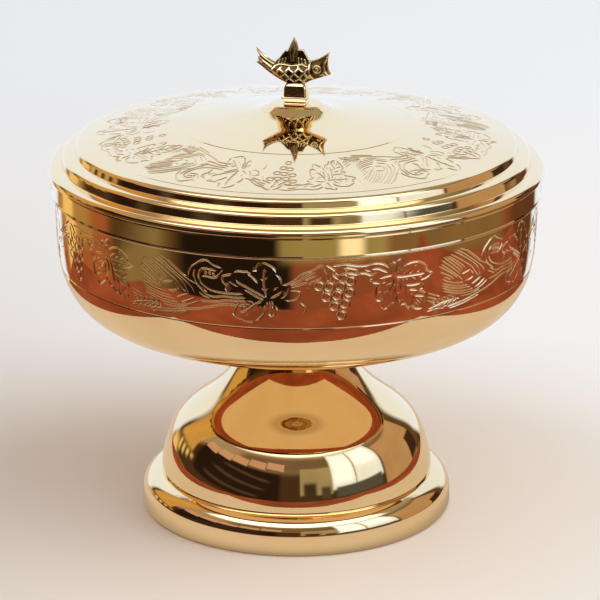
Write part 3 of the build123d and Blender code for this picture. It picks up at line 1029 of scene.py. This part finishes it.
def rise_run(low, high, steps):
    return [rise_sample(low + (high - low) * i / steps) for i in range(steps + 1)]


INNER_LINE, INNER_DEEP = 37.8, 0.11   # radius and depth of the ring inside the design
OUTER_LINE, OUTER_DEEP = 66.7, 0.06   # and of the one outside it


def lid():
    skin = Skin()
    shoulder = 70.7
    steps = filleted(
        [(DISC_R, DISC_Z), (shoulder, DISC_Z - DISC_SLOPE * (shoulder - DISC_R)), (71.5, 121.5),
         (75.1, 120.9), (75.9, 117.5), (LIP_R - 0.08, LIP_Z - 0.1), (LIP_R - 0.03, LIP_Z - 2.3),
         (SKIRT_R - 0.05, LIP_Z - 2.65)],
        [1.8, 0.5, 1.8, 0.5, 1.9, 0.3], 1, steps=10,
    )
    seat = straight((STUD_BORE, HILL_TOP), (SEAT_R, HILL_TOP), 1)
    near, far = design_radius(BAND_LOW), design_radius(BAND_HIGH)
    half = RING_WIDE / 2
    outside = [
        seat,
        straight((SEAT_R, HILL_TOP), (SEAT_R, CAP_EDGE_Z), 1),
        rise_run(SEAT_R, INNER_LINE - half, 40),
        *grooved(rise_sample, INNER_LINE - half, INNER_LINE + half, INNER_DEEP),
        rise_run(INNER_LINE + half, near, 2),
        rise_run(far, OUTER_LINE - half, 2),
        *grooved(rise_sample, OUTER_LINE - half, OUTER_LINE + half, OUTER_DEEP),
        rise_run(OUTER_LINE + half, DISC_R, 2),
        *steps,
    ]
    inside = behind([seat, flowing(INSIDE_POINTS, (1, 0), (1, -DISC_SLOPE), 1, 22), *steps], SHEET)
    edges = [
        straight(steps[-1][-1][:2], inside[0][0][:2], 1),
        straight(inside[-1][-1][:2], outside[0][0][:2], 1),
    ]
    skin.turn([*outside, *inside, *edges], LID_START - 90)
    engrave(skin, network(LID_DEG_MM, LID_RISE, LID_GROOVE_SLOPE), LID_START, on_lid)
    return skin.piece("lid_turned", "lid", "gilt_spun", ["lid_shell"])


def skirt():
    skin = Skin()
    inner = BOWL_R + FIT
    top = SKIRT_TOP
    outer = SKIRT_R
    bead = 0.38
    skin.turn([
        straight((inner, top), (outer - 0.1, top), 1),
        straight((outer - 0.1, top), (outer, top - 0.4), 1),
        straight((outer, top - 0.4), (outer, SKIRT_Z + 1.3), 1, 4),
        straight((outer, SKIRT_Z + 1.3), (outer + 0.12, SKIRT_Z + 0.9), 1),
        bend((outer + 0.15 - bead, SKIRT_Z + 0.55), bead, 35, -90, True, 10),
        straight((outer + 0.15 - bead, SKIRT_Z + 0.17), (inner, SKIRT_Z + 0.3), 1),
        straight((inner, SKIRT_Z + 0.3), (inner, top), 1),
    ])
    return skin.piece("lid_skirt_turned", "lid", "gilt_spun", ["lid_skirt_band"])


def boss():
    """Low round cap: a slim upright edge, a hollow flank and a flat top."""
    skin = Skin()
    low = HILL_TOP + SEAM
    rim_r = SEAT_R - 0.04
    flank = flowing(
        [(rim_r, CAP_EDGE_Z), (10.2, 134.7), (9.4, 135.25), (8.4, 135.9), (CAP_TOP_R, BOSS_TOP)],
        (-1, 0.5), (-1, 0), -1, 40,
    )
    skin.turn([
        straight((STUD_BORE, low), (rim_r, low), -1),
        straight((rim_r, low), (rim_r, CAP_EDGE_Z), -1), flank,
        straight((CAP_TOP_R, BOSS_TOP), (STUD_BORE, BOSS_TOP), -1),
        straight((STUD_BORE, BOSS_TOP), (STUD_BORE, low), -1),
    ], step=1.5)
    return skin.piece("lid_boss_turned", "lid", "gilt_spun", ["lid_boss"])


# ------------------------------------------------------------------------ finial
FISH_TURN = -10.0                  # degrees about the axis
FISH_TOP = 157.78
PLATE_Z, PLATE_THICK = 138.2, 0.4
STALK_X, STALK_Y = 7.3, 6.6        # length and depth of the block under the fish

# Side view of the casting: (x, z) with the head at +x.
TAIL_TIP = (-13.0, 154.0)
BACK = [TAIL_TIP, (-11.4, 152.5), (-9.8, 151.2), (-8.3, 150.1), (-7.0, 149.5)]
LEFT_FIN = [(-6.3, 149.9), (-5.2, 151.0), (-4.3, 152.2), (-3.4, 153.3), (-2.6, 153.5)]
SPIKE = [(-1.9, 155.0), (-0.62, FISH_TOP), (0.2, 156.2), (0.9, 153.8)]
RIGHT_FIN = [(2.5, 153.7), (3.3, 152.3), (4.1, 150.8), (4.9, 150.3)]
HEAD = [(5.6, 150.5), (7.4, 151.2), (9.2, 152.2), (11.0, 153.3)]
MOUTH = [(10.6, 152.1), (10.35, 150.6), (10.35, 149.0), (10.7, 147.4), (11.4, 146.05)]
BELLY = [
    (10.2, 145.5), (8.4, 144.9), (6.4, 144.2), (4.6, 143.5), (3.0, 142.7), (1.2, 142.1),
    (-1.0, 142.05), (-3.0, 142.6), (-5.2, 143.7), (-7.6, 145.1), (-9.6, 146.5), (-11.4, 147.9),
]
TAIL_END = [
    (-12.9, 149.0), (-12.1, 149.7), (-12.5, 150.5), (-11.9, 151.2), (-12.5, 152.2),
]
SCALE_HALF = 0.31      # half width of the scales' ridges
RIDGE_HIGH = 0.42
FIN_HALF, RIM_HALF, BODY_SWELL = 0.85, 1.25, 1.55   # half thicknesses, and the body's growth


def flank_ridges():
    """Crossed scale lines, tail rays, gill, mouth and eye of the fish: points and half width."""
    out = []
    falling = [(-7.6, 147.0, -2.9), (-5.0, 147.5, -0.4), (-2.2, 147.9, 2.9), (0.8, 148.3, 4.6)]
    for x, z, end in falling:
        out.append(([(x, z), (end, z - 0.92 * (end - x))], SCALE_HALF))
    rising = [
        (-8.0, 146.9, -6.6), (-7.2, 145.3, -4.7), (-4.9, 144.8, -2.0), (-3.1, 143.4, 1.0),
        (-0.9, 142.5, 3.9), (2.0, 142.8, 4.4),
    ]
    for x, z, end in rising:
        out.append(([(x, z), (end, z + 1.12 * (end - x))], SCALE_HALF))
    out += [
        ([(-6.6, 148.5), (-5.2, 148.9), (-3.6, 148.8), (-1.6, 148.6), (0.4, 148.7), (2.0, 149.0),
          (3.6, 148.6)], 0.24),
        ([(-7.3, 145.3), (-5.2, 144.1), (-3.0, 142.9)], 0.24),
        ([(-12.2, 150.8), (-10.2, 149.6), (-7.9, 148.2)], 0.30),
        ([(-11.8, 149.4), (-10.2, 148.4), (-8.3, 147.1)], 0.30),
        ([(-12.5, 148.9), (-10.4, 147.4), (-8.2, 145.9)], 0.26),
        ([(-12.4, 152.5), (-10.6, 151.0), (-8.6, 149.7), (-7.2, 149.0)], 0.24),
        ([(4.5, 149.9), (4.3, 148.6), (4.4, 147.0), (4.9, 145.5), (5.7, 144.3)], 0.34),
        ([(10.2, 151.4), (9.4, 149.9), (9.15, 148.6), (9.4, 147.2), (10.3, 146.1)], 0.30),
        ([(11.0, 153.0), (10.55, 151.6)], 0.20),
        ([(8.0, 145.9), (8.7, 146.2), (9.2, 145.8)], 0.22),
    ]
    for k in range(3):
        out.append(([(0.9 + 1.15 * k, 149.3), (0.8 + 1.0 * k, 150.9 - 0.25 * k)], 0.26))
        out.append(([(-5.6 + 0.95 * k, 149.2), (-5.2 + 0.95 * k, 150.2 + 0.3 * k)], 0.20))
    eye = (7.05, 147.95)
    for radius, half in ((1.15, 0.27), (0.32, 0.30)):
        turns = 20
        turn = 2 * math.pi / turns
        out.append((
            [(eye[0] + radius * math.cos(turn * k), eye[1] + radius * math.sin(turn * k))
             for k in range(turns + 1)], half,
        ))
    return out


def distance_to(points, chain):
    """Distance of each point from a broken line."""
    p = np.asarray(points)
    c = np.asarray(chain)
    a, ab = c[:-1], np.diff(c, axis=0)
    t = ((p[:, None, :] - a) * ab).sum(2) / (ab * ab).sum(1)
    t = np.clip(t, 0, 1)
    return np.linalg.norm(p[:, None, :] - (a + ab * t[:, :, None]), axis=2).min(1)


def distance_to_loop(points, loop):
    return distance_to(points, loop + loop[:1])


def inside(points, loop):
    """Which points lie inside a closed outline."""
    x, z = points[:, 0], points[:, 1]
    found = np.zeros(len(points), bool)
    for (x0, z0), (x1, z1) in zip(loop, loop[1:] + loop[:1]):
        crosses = (z0 > z) != (z1 > z)
        with np.errstate(divide="ignore", invalid="ignore"):
            at = x0 + (z - z0) * (x1 - x0) / (z1 - z0)
        found ^= crosses & (x < at)
    return found


FISH_LOOP = BACK + LEFT_FIN + SPIKE + RIGHT_FIN + HEAD + MOUTH + BELLY + TAIL_END
BODY_LOOP = BACK + [(-3.0, 149.3), (0.0, 149.2), (3.2, 149.6)] + HEAD + MOUTH + BELLY + TAIL_END
SPIKE_LOOP = [(-2.6, 153.5)] + SPIKE + [(0.5, 151.6), (0.2, 149.2), (-2.4, 149.2), (-2.5, 151.6)]
RIDGES = flank_ridges()


def ease(value, low, high):
    t = np.clip((value - low) / (high - low), 0, 1)
    return t * t * (3 - 2 * t)


def half_thickness(points):
    """Half the casting's thickness at points of its side view."""
    p = np.asarray(points, float)
    edge = distance_to_loop(p, FISH_LOOP)
    body = inside(p, BODY_LOOP)
    deep = distance_to_loop(p, BODY_LOOP)
    slim = 1.0 - 0.42 * ease(p[:, 0], -7.0, -12.5) - 0.12 * ease(p[:, 0], 6.0, 11.0)
    swell = (RIM_HALF + BODY_SWELL * ease(deep, 0.0, 2.6)) * slim
    base = np.where(body, swell, FIN_HALF)
    in_spike = ease(distance_to_loop(p, SPIKE_LOOP), 0.0, 1.3)
    blade = np.where(inside(p, SPIKE_LOOP), 0.75 + 1.5 * in_spike, 0.0)
    base = np.maximum(base, blade)
    proud = np.zeros(len(p))
    for chain, half in RIDGES:
        gap = distance_to(p, chain)
        proud = np.maximum(proud, RIDGE_HIGH * np.sqrt(np.clip(1 - (gap / (half * 1.35)) ** 2, 0, 1)))
    proud = np.where(blade > 0.9, 0.0, proud)
    rounding = 0.35 + 0.65 * np.sqrt(np.clip(edge / 0.35, 0, 1))
    return (base + proud) * rounding


def tarnish_and_shade_at(points):
    """How much dark tarnish and painted shade each point gets, 0 to 1: in the hollows between the ridges,
    and over the whole spike, which is painted dark as shade.
    """
    p = np.asarray(points, float)
    edge = distance_to_loop(p, FISH_LOOP)
    clear = np.ones(len(p))
    for chain, half in RIDGES:
        clear = np.minimum(clear, ease(distance_to(p, chain), half * 0.85, half * 1.5))
    spike = inside(p, SPIKE_LOOP)
    # the spike is painted dark all over: painted shade, not a hollow
    shade = np.where(spike, 0.8, clear)
    return np.where(inside(p, FISH_LOOP), shade * ease(edge, 0.12, 0.4), 0.0)


def fish_points(x, y, z):
    """A point or direction of the casting, which is turned a little about the axis."""
    a = math.radians(FISH_TURN)
    c, s = math.cos(a), math.sin(a)
    return (x * c - y * s, x * s + y * c, z)


GRID = 0.15            # spacing of the points on the fish's flanks


def fish(skin):
    """Both flanks and the edge of the fish."""
    loop = []
    for p, q in zip(FISH_LOOP, FISH_LOOP[1:] + FISH_LOOP[:1]):
        n = max(1, round(math.dist(p, q) / 0.16))
        loop += [(p[0] + (q[0] - p[0]) * i / n, p[1] + (q[1] - p[1]) * i / n) for i in range(n)]
    columns, rows = 168, 124
    grid = np.array([
        (-13.2 + GRID * (i + 0.5 * (j % 2)), 141.9 + GRID * 0.87 * j)
        for j in range(rows) for i in range(columns)
    ])
    free = inside(grid, FISH_LOOP) & (distance_to_loop(grid, FISH_LOOP) > 0.6 * GRID)
    verts = [Vector(p) for p in loop] + [Vector(p) for p in grid[free]]
    count = len(loop)
    edges = [(i, (i + 1) % count) for i in range(count)]
    got = delaunay_2d_cdt(verts, edges, [list(range(count))], 1, 1e-6)
    flat = np.array([(v.x, v.y) for v in got[0]])
    h = half_thickness(flat)
    step = 0.05
    slope_x = (half_thickness(flat + (step, 0)) - half_thickness(flat - (step, 0))) / (2 * step)
    slope_z = (half_thickness(flat + (0, step)) - half_thickness(flat - (0, step))) / (2 * step)
    for side in (-1, 1):
        spots = [fish_points(x, side * d, z) for (x, z), d in zip(flat, h)]
        normals = [fish_points(-a, side, -b) for a, b in zip(slope_x, slope_z)]
        for tri in got[2]:
            skin.face([spots[i] for i in tri], [normals[i] for i in tri])
    edge_h = half_thickness(np.array(loop))
    for i in range(count):
        j = (i + 1) % count
        (x0, z0), (x1, z1) = loop[i], loop[j]
        out = fish_points(z1 - z0, 0.0, -(x1 - x0))
        beside_edge = np.array([((x0 + x1) / 2 + (z1 - z0) * 0.05, (z0 + z1) / 2 - (x1 - x0) * 0.05)])
        if inside(beside_edge, FISH_LOOP)[0]:
            out = tuple(-v for v in out)
        a, b = edge_h[i], edge_h[j]
        quad = ((x0, -a, z0), (x1, -b, z1), (x1, b, z1), (x0, a, z0))
        skin.face([fish_points(*corner) for corner in quad], [out] * 4)


def loft(skin, rings):
    """Block through rounded rectangles (height, half length, half depth, corner radius)."""
    corner_steps = 5

    def outline(a, b, radius):
        pts, outs = [], []
        for sx, sy, first in ((1, -1, -90), (1, 1, 0), (-1, 1, 90), (-1, -1, 180)):
            for k in range(corner_steps + 1):
                t = math.radians(first + 90 * k / corner_steps)
                x, y = sx * (a - radius), sy * (b - radius)
                pts.append((x + radius * math.cos(t), y + radius * math.sin(t)))
                outs.append((math.cos(t), math.sin(t)))
        return pts, outs

    built = [(z, *outline(a, b, radius)) for z, a, b, radius in rings]
    for (za, pa, outs), (zb, pb, _) in zip(built, built[1:]):
        n = len(pa)
        for i in range(n):
            j = (i + 1) % n
            quad, normals = [], []
            for (x, y), z, (ox, oy), (x2, y2) in (
                (pa[i], za, outs[i], pb[i]), (pa[j], za, outs[j], pb[j]),
                (pb[j], zb, outs[j], pa[j]), (pb[i], zb, outs[i], pa[i]),
            ):
                rise = zb - za
                run = (x2 - x) * ox + (y2 - y) * oy
                run = run if z == za else -run
                quad.append(fish_points(x, y, z))
                normals.append(fish_points(ox * abs(rise), oy * abs(rise), -run * (1 if rise > 0 else -1)))
            skin.face(quad, normals)
    for (z, pts, _), up in ((built[0], -1), (built[-1], 1)):
        centre = fish_points(0, 0, z)
        for i in range(len(pts)):
            j = (i + 1) % len(pts)
            skin.face(
                [centre, fish_points(*pts[i], z), fish_points(*pts[j], z)], [(0, 0, up)] * 3
            )


def fish_piece():
    skin = Skin()
    fish(skin)
    low = PLATE_Z + PLATE_THICK + 2 * SEAM
    a, b = STALK_X / 2, STALK_Y / 2
    loft(skin, [
        (low, a - 0.15, b - 0.15, 0.5), (low + 0.15, a, b, 0.6), (141.3, a - 0.05, b - 0.05, 0.6),
        (142.2, a - 0.25, b - 0.3, 0.8), (142.9, a - 0.8, b - 0.9, 0.9), (143.4, a - 1.6, b - 1.5, 0.9),
    ])
    obj = skin.piece("fish_cast", "lid", "gilt_cast", ["fish_finial"])
    turn = math.radians(-FISH_TURN)
    places = [(p[0] * math.cos(turn) - p[1] * math.sin(turn), p[2]) for p in skin.points]
    # mark of painted shade and dark tarnish in the fish's hollows and on its spike
    hollow = obj.data.attributes.new("hollow", "FLOAT", "POINT")
    hollow.data.foreach_set("value", tarnish_and_shade_at(places).astype(np.float32))
    return obj


def plate_piece():
    skin = Skin()
    low = PLATE_Z + SEAM
    a, b = STALK_X / 2 + 0.75, STALK_Y / 2 + 0.6
    loft(skin, [
        (low, a - 0.1, b - 0.1, 0.15), (low + 0.1, a, b, 0.2),
        (low + PLATE_THICK - 0.1, a, b, 0.2), (low + PLATE_THICK, a - 0.1, b - 0.1, 0.15),
    ])
    return skin.piece("finial_plate_cut", "lid", "gilt_cast", ["finial_plate"])


def block_piece():
    skin = Skin()
    low = BOSS_TOP + SEAM
    tall = PLATE_Z - low
    a, b = STALK_X / 2, STALK_Y / 2
    rings = [
        (0.0, a + 0.05, b + 0.05, 0.5), (0.06, a + 0.15, b + 0.15, 0.5), (0.14, a + 0.05, b + 0.05, 0.5),
        (0.2, a - 0.15, b - 0.2, 0.5), (0.45, a - 0.05, b - 0.1, 0.5), (0.75, a + 0.15, b + 0.1, 0.5),
        (0.95, a + 0.35, b + 0.25, 0.4), (1.0, a + 0.3, b + 0.2, 0.4),
    ]
    loft(skin, [(low + tall * share, x, y, radius) for share, x, y, radius in rings])
    return skin.piece("finial_block", "lid", "gilt_cast", ["finial_foot"])


for make in (base_ring, bell, collar, bowl, rim, lid, skirt, boss, fish_piece, plate_piece, block_piece):
    make()


# ------------------------------------------------------------------- surroundings
BACK_HIGH, BACK_TOP = 39.0, 42.0      # where the backdrop greys and where it ends, degrees
BACK_FALL = 10.0                      # how far its top falls towards the sides
BACK_SOFT = 0.8


def room():
    """What the metal reflects in front, in the order it is painted.

    Each region has its limits in degrees (azimuth, then elevation), a colour, the
    softness of its edges sideways and upwards, and a lean.
    """
    shelves = [
        (-86 + 9 * k, -34 + 5 * k, 1.0 + 7.0 * k, 2.8 + 7.0 * k, (0.085, 0.06, 0.04), 5, 0.9, -6)
        for k in range(3)
    ]
    boards = [
        (-98 + 17.5 * k, -81.5 + 17.5 * k, 24.5, 34, (0.62, 0.38, 0.25), 0.4, 0.7, -2.5)
        for k in range(5)
    ]
    glints = [
        (-128 + 7 * k, -124 + 7 * k, -2 + 2 * k, 6, (0.9, 0.66, 0.25), 1.6, 2) for k in range(4)
    ]
    walls = [
        (-200, 200, -95, 24, (0.07, 0.035, 0.018), 1, 6),
        (-60, 130, 22, 44, (0.20, 0.13, 0.075), 10, 6),
        (-100, -14, -3, 24, (0.024, 0.012, 0.008), 3, 1.5, -8),
    ]
    door = [
        (3, 31, 2, 27, (0.40, 0.34, 0.20), 1.0, 1.5),
        (6, 17, -4, 13, (0.06, 0.04, 0.02), 2.0, 2.5),
        (21, 29, -2, 9, (0.10, 0.07, 0.04), 1.5, 2.0),
    ]
    window = [
        (31, 80, 5, 46, (1.0, 1.16, 1.4), 1.2, 1.5),
        (33, 51, 10, 43, (1.3, 1.5, 1.9), 2.5, 3.0),
        (55, 76, 20, 43, (1.3, 1.5, 1.9), 3.0, 4.0),
        (52, 53.5, 6, 46, (0.5, 0.45, 0.35), 0.4, 1.0),
        (34, 78, -2, 7, (0.10, 0.10, 0.085), 2, 1),
    ]
    right_wall = [
        (82, 131, -6, 38, (0.52, 0.33, 0.18), 1.5, 2),
        (118, 134, -4, 14, (0.05, 0.025, 0.015), 1.0, 2),
        (131, 139, -8, 42, (0.12, 0.07, 0.03), 1.0, 3),
    ]
    left_wall = [(-134, -106, 8, 50, (0.66, 0.38, 0.10), 2, 4)]
    ceiling = [(-95, 95, 49, 74, (2.3, 2.35, 2.4), 6, 4)]
    ground = [
        (-160, -96, -95, -8, (0.40, 0.125, 0.045), 6, 3),
        (-150, -112, -18.2, -4, (0.46, 0.27, 0.09), 6, 1),
        (-141, -129, -40, 2, (0.95, 0.66, 0.24), 3, 6),
        (-96, -56, -95, -8, (0.10, 0.06, 0.022), 5, 3),
        (-92, -64, -24, -16.8, (0.27, 0.20, 0.085), 6, 1.5, 3),
        (-56, -2, -34, -10, (0.016, 0.010, 0.007), 4, 2),
        (-2, 150, -95, -8, (0.26, 0.080, 0.038), 3, 3),
        (-8, 44, -18.3, -8, (0.36, 0.29, 0.12), 3, 0.7),
        (20, 31, -17.9, -10, (1.2, 1.1, 0.8), 3, 0.6),
        (44, 112, -18.3, -8, (0.24, 0.15, 0.06), 5, 0.7),
        (118, 150, -40, -8, (0.13, 0.05, 0.02), 5, 4),
    ]
    return [
        *walls, *shelves, *boards, *door, *window, *right_wall, *left_wall, *glints, *ceiling, *ground,
    ]


def build_world():
    """A bright backdrop behind, a dim room in front; the camera sees plain pale air."""
    world = bpy.data.worlds.new("Room")
    bpy.context.scene.world = world
    world.use_nodes = True
    t = Nodes(world.node_tree)
    way = t.add("ShaderNodeTexCoord").outputs["Generated"]
    unit_way = t.add("ShaderNodeVectorMath", {0: way}, operation="NORMALIZE").outputs[0]
    x, y, z = t.split(unit_way)
    az = t.math("MULTIPLY", t.math("ARCTAN2", x, t.math("MULTIPLY", y, -1.0)), 180 / math.pi)
    el = t.math("MULTIPLY", t.math("ARCSINE", z), 180 / math.pi)
    mottle = t.noise(unit_way, 3.0, 3.0, 0.55)
    colour = t.mix(t.ramp(az, -20.0, 20.0), rgb(0.42, 0.31, 0.21), rgb(0.38, 0.35, 0.24))

    def patch(colour, az0, az1, el0, el1, paint, soft_az, soft_el, lean=0.0):
        """A soft-edged rectangle of colour; lean raises it by that much over its width."""
        rise = t.math("MULTIPLY", t.math("SUBTRACT", az, (az0 + az1) / 2), lean / (az1 - az0))
        up = t.math("SUBTRACT", el, rise)
        left = t.ramp(az, az0 - soft_az, az0 + soft_az)
        right = t.ramp(az, az1 + soft_az, az1 - soft_az)
        bottom = t.ramp(up, el0 - soft_el, el0 + soft_el)
        top = t.ramp(up, el1 + soft_el, el1 - soft_el)
        share = t.math("MULTIPLY", t.math("MULTIPLY", left, right), t.math("MULTIPLY", bottom, top))
        return t.mix(share, colour, rgb(*paint))

    for region in room():
        colour = patch(colour, *region)
    colour = t.mix(t.ramp(mottle, 0.3, 0.7, 0.0, 0.25), colour, t.mix(0.5, colour, rgb(0.0, 0.0, 0.0)))
    # bright backdrop behind the vessel
    edge = t.ramp(el, -14.0, 6.0, 150.0, 138.5)
    aside = t.math("ABSOLUTE", az)
    behind_vessel = t.ramp(t.math("SUBTRACT", aside, edge), -3.0, 3.0)
    away = t.math("DIVIDE", t.math("SUBTRACT", 180.0, aside), 90.0)
    drop = t.math("MULTIPLY", t.math("MULTIPLY", away, away), BACK_FALL)
    above = t.math("ADD", el, drop)
    upper = t.ramp(above, BACK_HIGH - BACK_SOFT, BACK_HIGH + BACK_SOFT)
    past = t.ramp(above, BACK_TOP - BACK_SOFT, BACK_TOP + BACK_SOFT)
    backdrop = t.mix(upper, rgb(0.88, 1.0, 1.2), rgb(0.73, 0.78, 0.82))
    backdrop = t.mix(past, backdrop, colour)
    colour = t.mix(behind_vessel, colour, backdrop)
    background = t.add("ShaderNodeBackground", {"Color": colour, "Strength": 1.0})
    pale = t.add("ShaderNodeBackground", {"Color": rgb(0.80, 0.82, 0.86), "Strength": 1.0})
    seen = t.add("ShaderNodeLightPath").outputs["Is Camera Ray"]
    chosen = t.add("ShaderNodeMixShader", {0: seen, 1: background.outputs[0], 2: pale.outputs[0]})
    t.add("ShaderNodeOutputWorld", {"Surface": chosen.outputs[0]})


def table_material():
    """Matt white board: a slow unevenness, a fine tooth, a painted shadow towards the left front, and
    painted warm light from the gold close under the vessel.
    """
    material, t, place = new_material("table_board")
    shader = t.add("ShaderNodeBsdfPrincipled", {"Specular IOR Level": 0.2})
    patches = t.noise(place, 2.5, 3.0, 0.5)
    x, y, _ = t.split(place)
    # painted shadow: the board darkens towards the left front
    left = t.ramp(x, 0.16, -0.34)
    back = t.ramp(y, -0.2, 0.9)
    pale = t.mix(patches, rgb(0.84, 0.83, 0.82), rgb(0.88, 0.87, 0.86))
    pale = t.mix(t.math("MULTIPLY", left, t.math("SUBTRACT", 1.0, back)), pale, rgb(0.62, 0.56, 0.52))
    # painted warm light thrown from the gold, with some shade, on the board close under the vessel
    near = t.length(place)
    pale = t.mix(t.ramp(near, 0.20, 0.04), pale, rgb(0.86, 0.77, 0.66))
    t.put(shader.inputs["Base Color"], t.mix(back, pale, rgb(0.86, 0.905, 0.96)))
    t.put(shader.inputs["Roughness"], t.ramp(t.noise(place, 400.0), 0.3, 0.7, 0.6, 0.75))
    t.put(shader.inputs["Normal"], t.bump(t.noise(place, 1800.0, 2.0), 0.05, 0.0001))
    t.add("ShaderNodeOutputMaterial", {"Surface": shader.outputs[0]})
    return material


def glow_material(name, bright, dim, scale, foot_shadow=0.0):
    """Even surface that only reflections see: a mottled colour, with a painted shadow close to the foot."""
    material, t, place = new_material(name)
    patches = t.ramp(t.noise(place, scale, 3.0, 0.55), 0.3, 0.7)
    colour = t.mix(patches, rgb(*dim), rgb(*bright))
    # painted shadow of the foot on the board
    if foot_shadow > 0:
        near = t.length(place)
        shade = t.math("MULTIPLY", t.ramp(near, 0.062, 0.05), foot_shadow)
        colour = t.mix(shade, colour, rgb(0.12, 0.08, 0.04))
    glow = t.add("ShaderNodeEmission", {"Color": colour, "Strength": 1.0})
    t.add("ShaderNodeOutputMaterial", {"Surface": glow.outputs[0]})
    return material


def slab(name, corners, z):
    """A flat sheet with the given corners at a height."""
    mesh = bpy.data.meshes.new(name)
    mesh.from_pydata([(x, y, z) for x, y in corners], [], [tuple(range(len(corners)))])
    obj = in_scene(name, mesh)
    return obj


FLOOR = [(-12, -12), (12, -12), (12, 12), (-12, 12)]
FLOOR_Z, BOARD_Z, DESK_Z = -0.0004, -0.0002, -0.0003      # just under the foot
# In reflections the board is small, and a red-brown desk shows beyond it.
BOARD = [(-0.155, -0.121), (0.160, -0.121), (0.160, 0.45), (-0.155, 0.45)]
DESK = [
    (-0.156, -0.236), (-0.10, -0.262), (0.36, -0.262), (0.36, 0.16), (-0.285, 0.16), (-0.285, -0.10),
    (-0.272, -0.130), (-0.250, -0.162), (-0.222, -0.188), (-0.192, -0.211),
]
LAMP_AT, LAMP_AIM, LAMP_WATTS = (1.3, -0.2, 1.4), (0, 0, 0.05), 14.0
CAMERA_AT = (0.0, -0.9958, 0.3949)
CAMERA_DOWN, CAMERA_YAW = 18.10, -0.0011754               # degrees, radians
LENS_MM, SENSOR_MM = 192.0, 36.0

build_world()
floor = slab("floor", FLOOR, FLOOR_Z)
floor.data.materials.append(table_material())
floor.visible_glossy = False
# the last number is the strength of the painted shadow close to the foot
board_glow = glow_material("board_glow", (0.72, 0.61, 0.50), (0.66, 0.56, 0.45), 9.0, 0.5)
desk_glow = glow_material("desk_glow", (0.36, 0.092, 0.045), (0.22, 0.055, 0.026), 9.0)
for name, corners, height, glow in (
    ("board_in_reflections", BOARD, BOARD_Z, board_glow), ("desk_in_reflections", DESK, DESK_Z, desk_glow),
):
    sheet = slab(name, corners, height)
    sheet.data.materials.append(glow)
    sheet.visible_camera = False
    sheet.visible_diffuse = False
    sheet.visible_shadow = False

lamp_data = bpy.data.lights.new("soft_window", "AREA")
lamp_data.shape = "RECTANGLE"
lamp_data.size, lamp_data.size_y = 1.6, 1.2
lamp_data.energy = LAMP_WATTS
lamp_data.color = (1.0, 0.98, 0.95)
lamp = in_scene("soft_window", lamp_data)
lamp.location = LAMP_AT
lamp.rotation_euler = (Vector(LAMP_AIM) - Vector(LAMP_AT)).to_track_quat("-Z", "Y").to_euler()
lamp.visible_glossy = False

camera_data = bpy.data.cameras.new("camera")
camera_data.lens = LENS_MM
camera_data.sensor_width = SENSOR_MM
camera = in_scene("camera", camera_data)
camera.location = CAMERA_AT
camera.rotation_euler = (math.radians(90 - CAMERA_DOWN), 0.0, CAMERA_YAW)
bpy.context.scene.camera = camera
bpy.context.scene.view_settings.view_transform = "Standard"
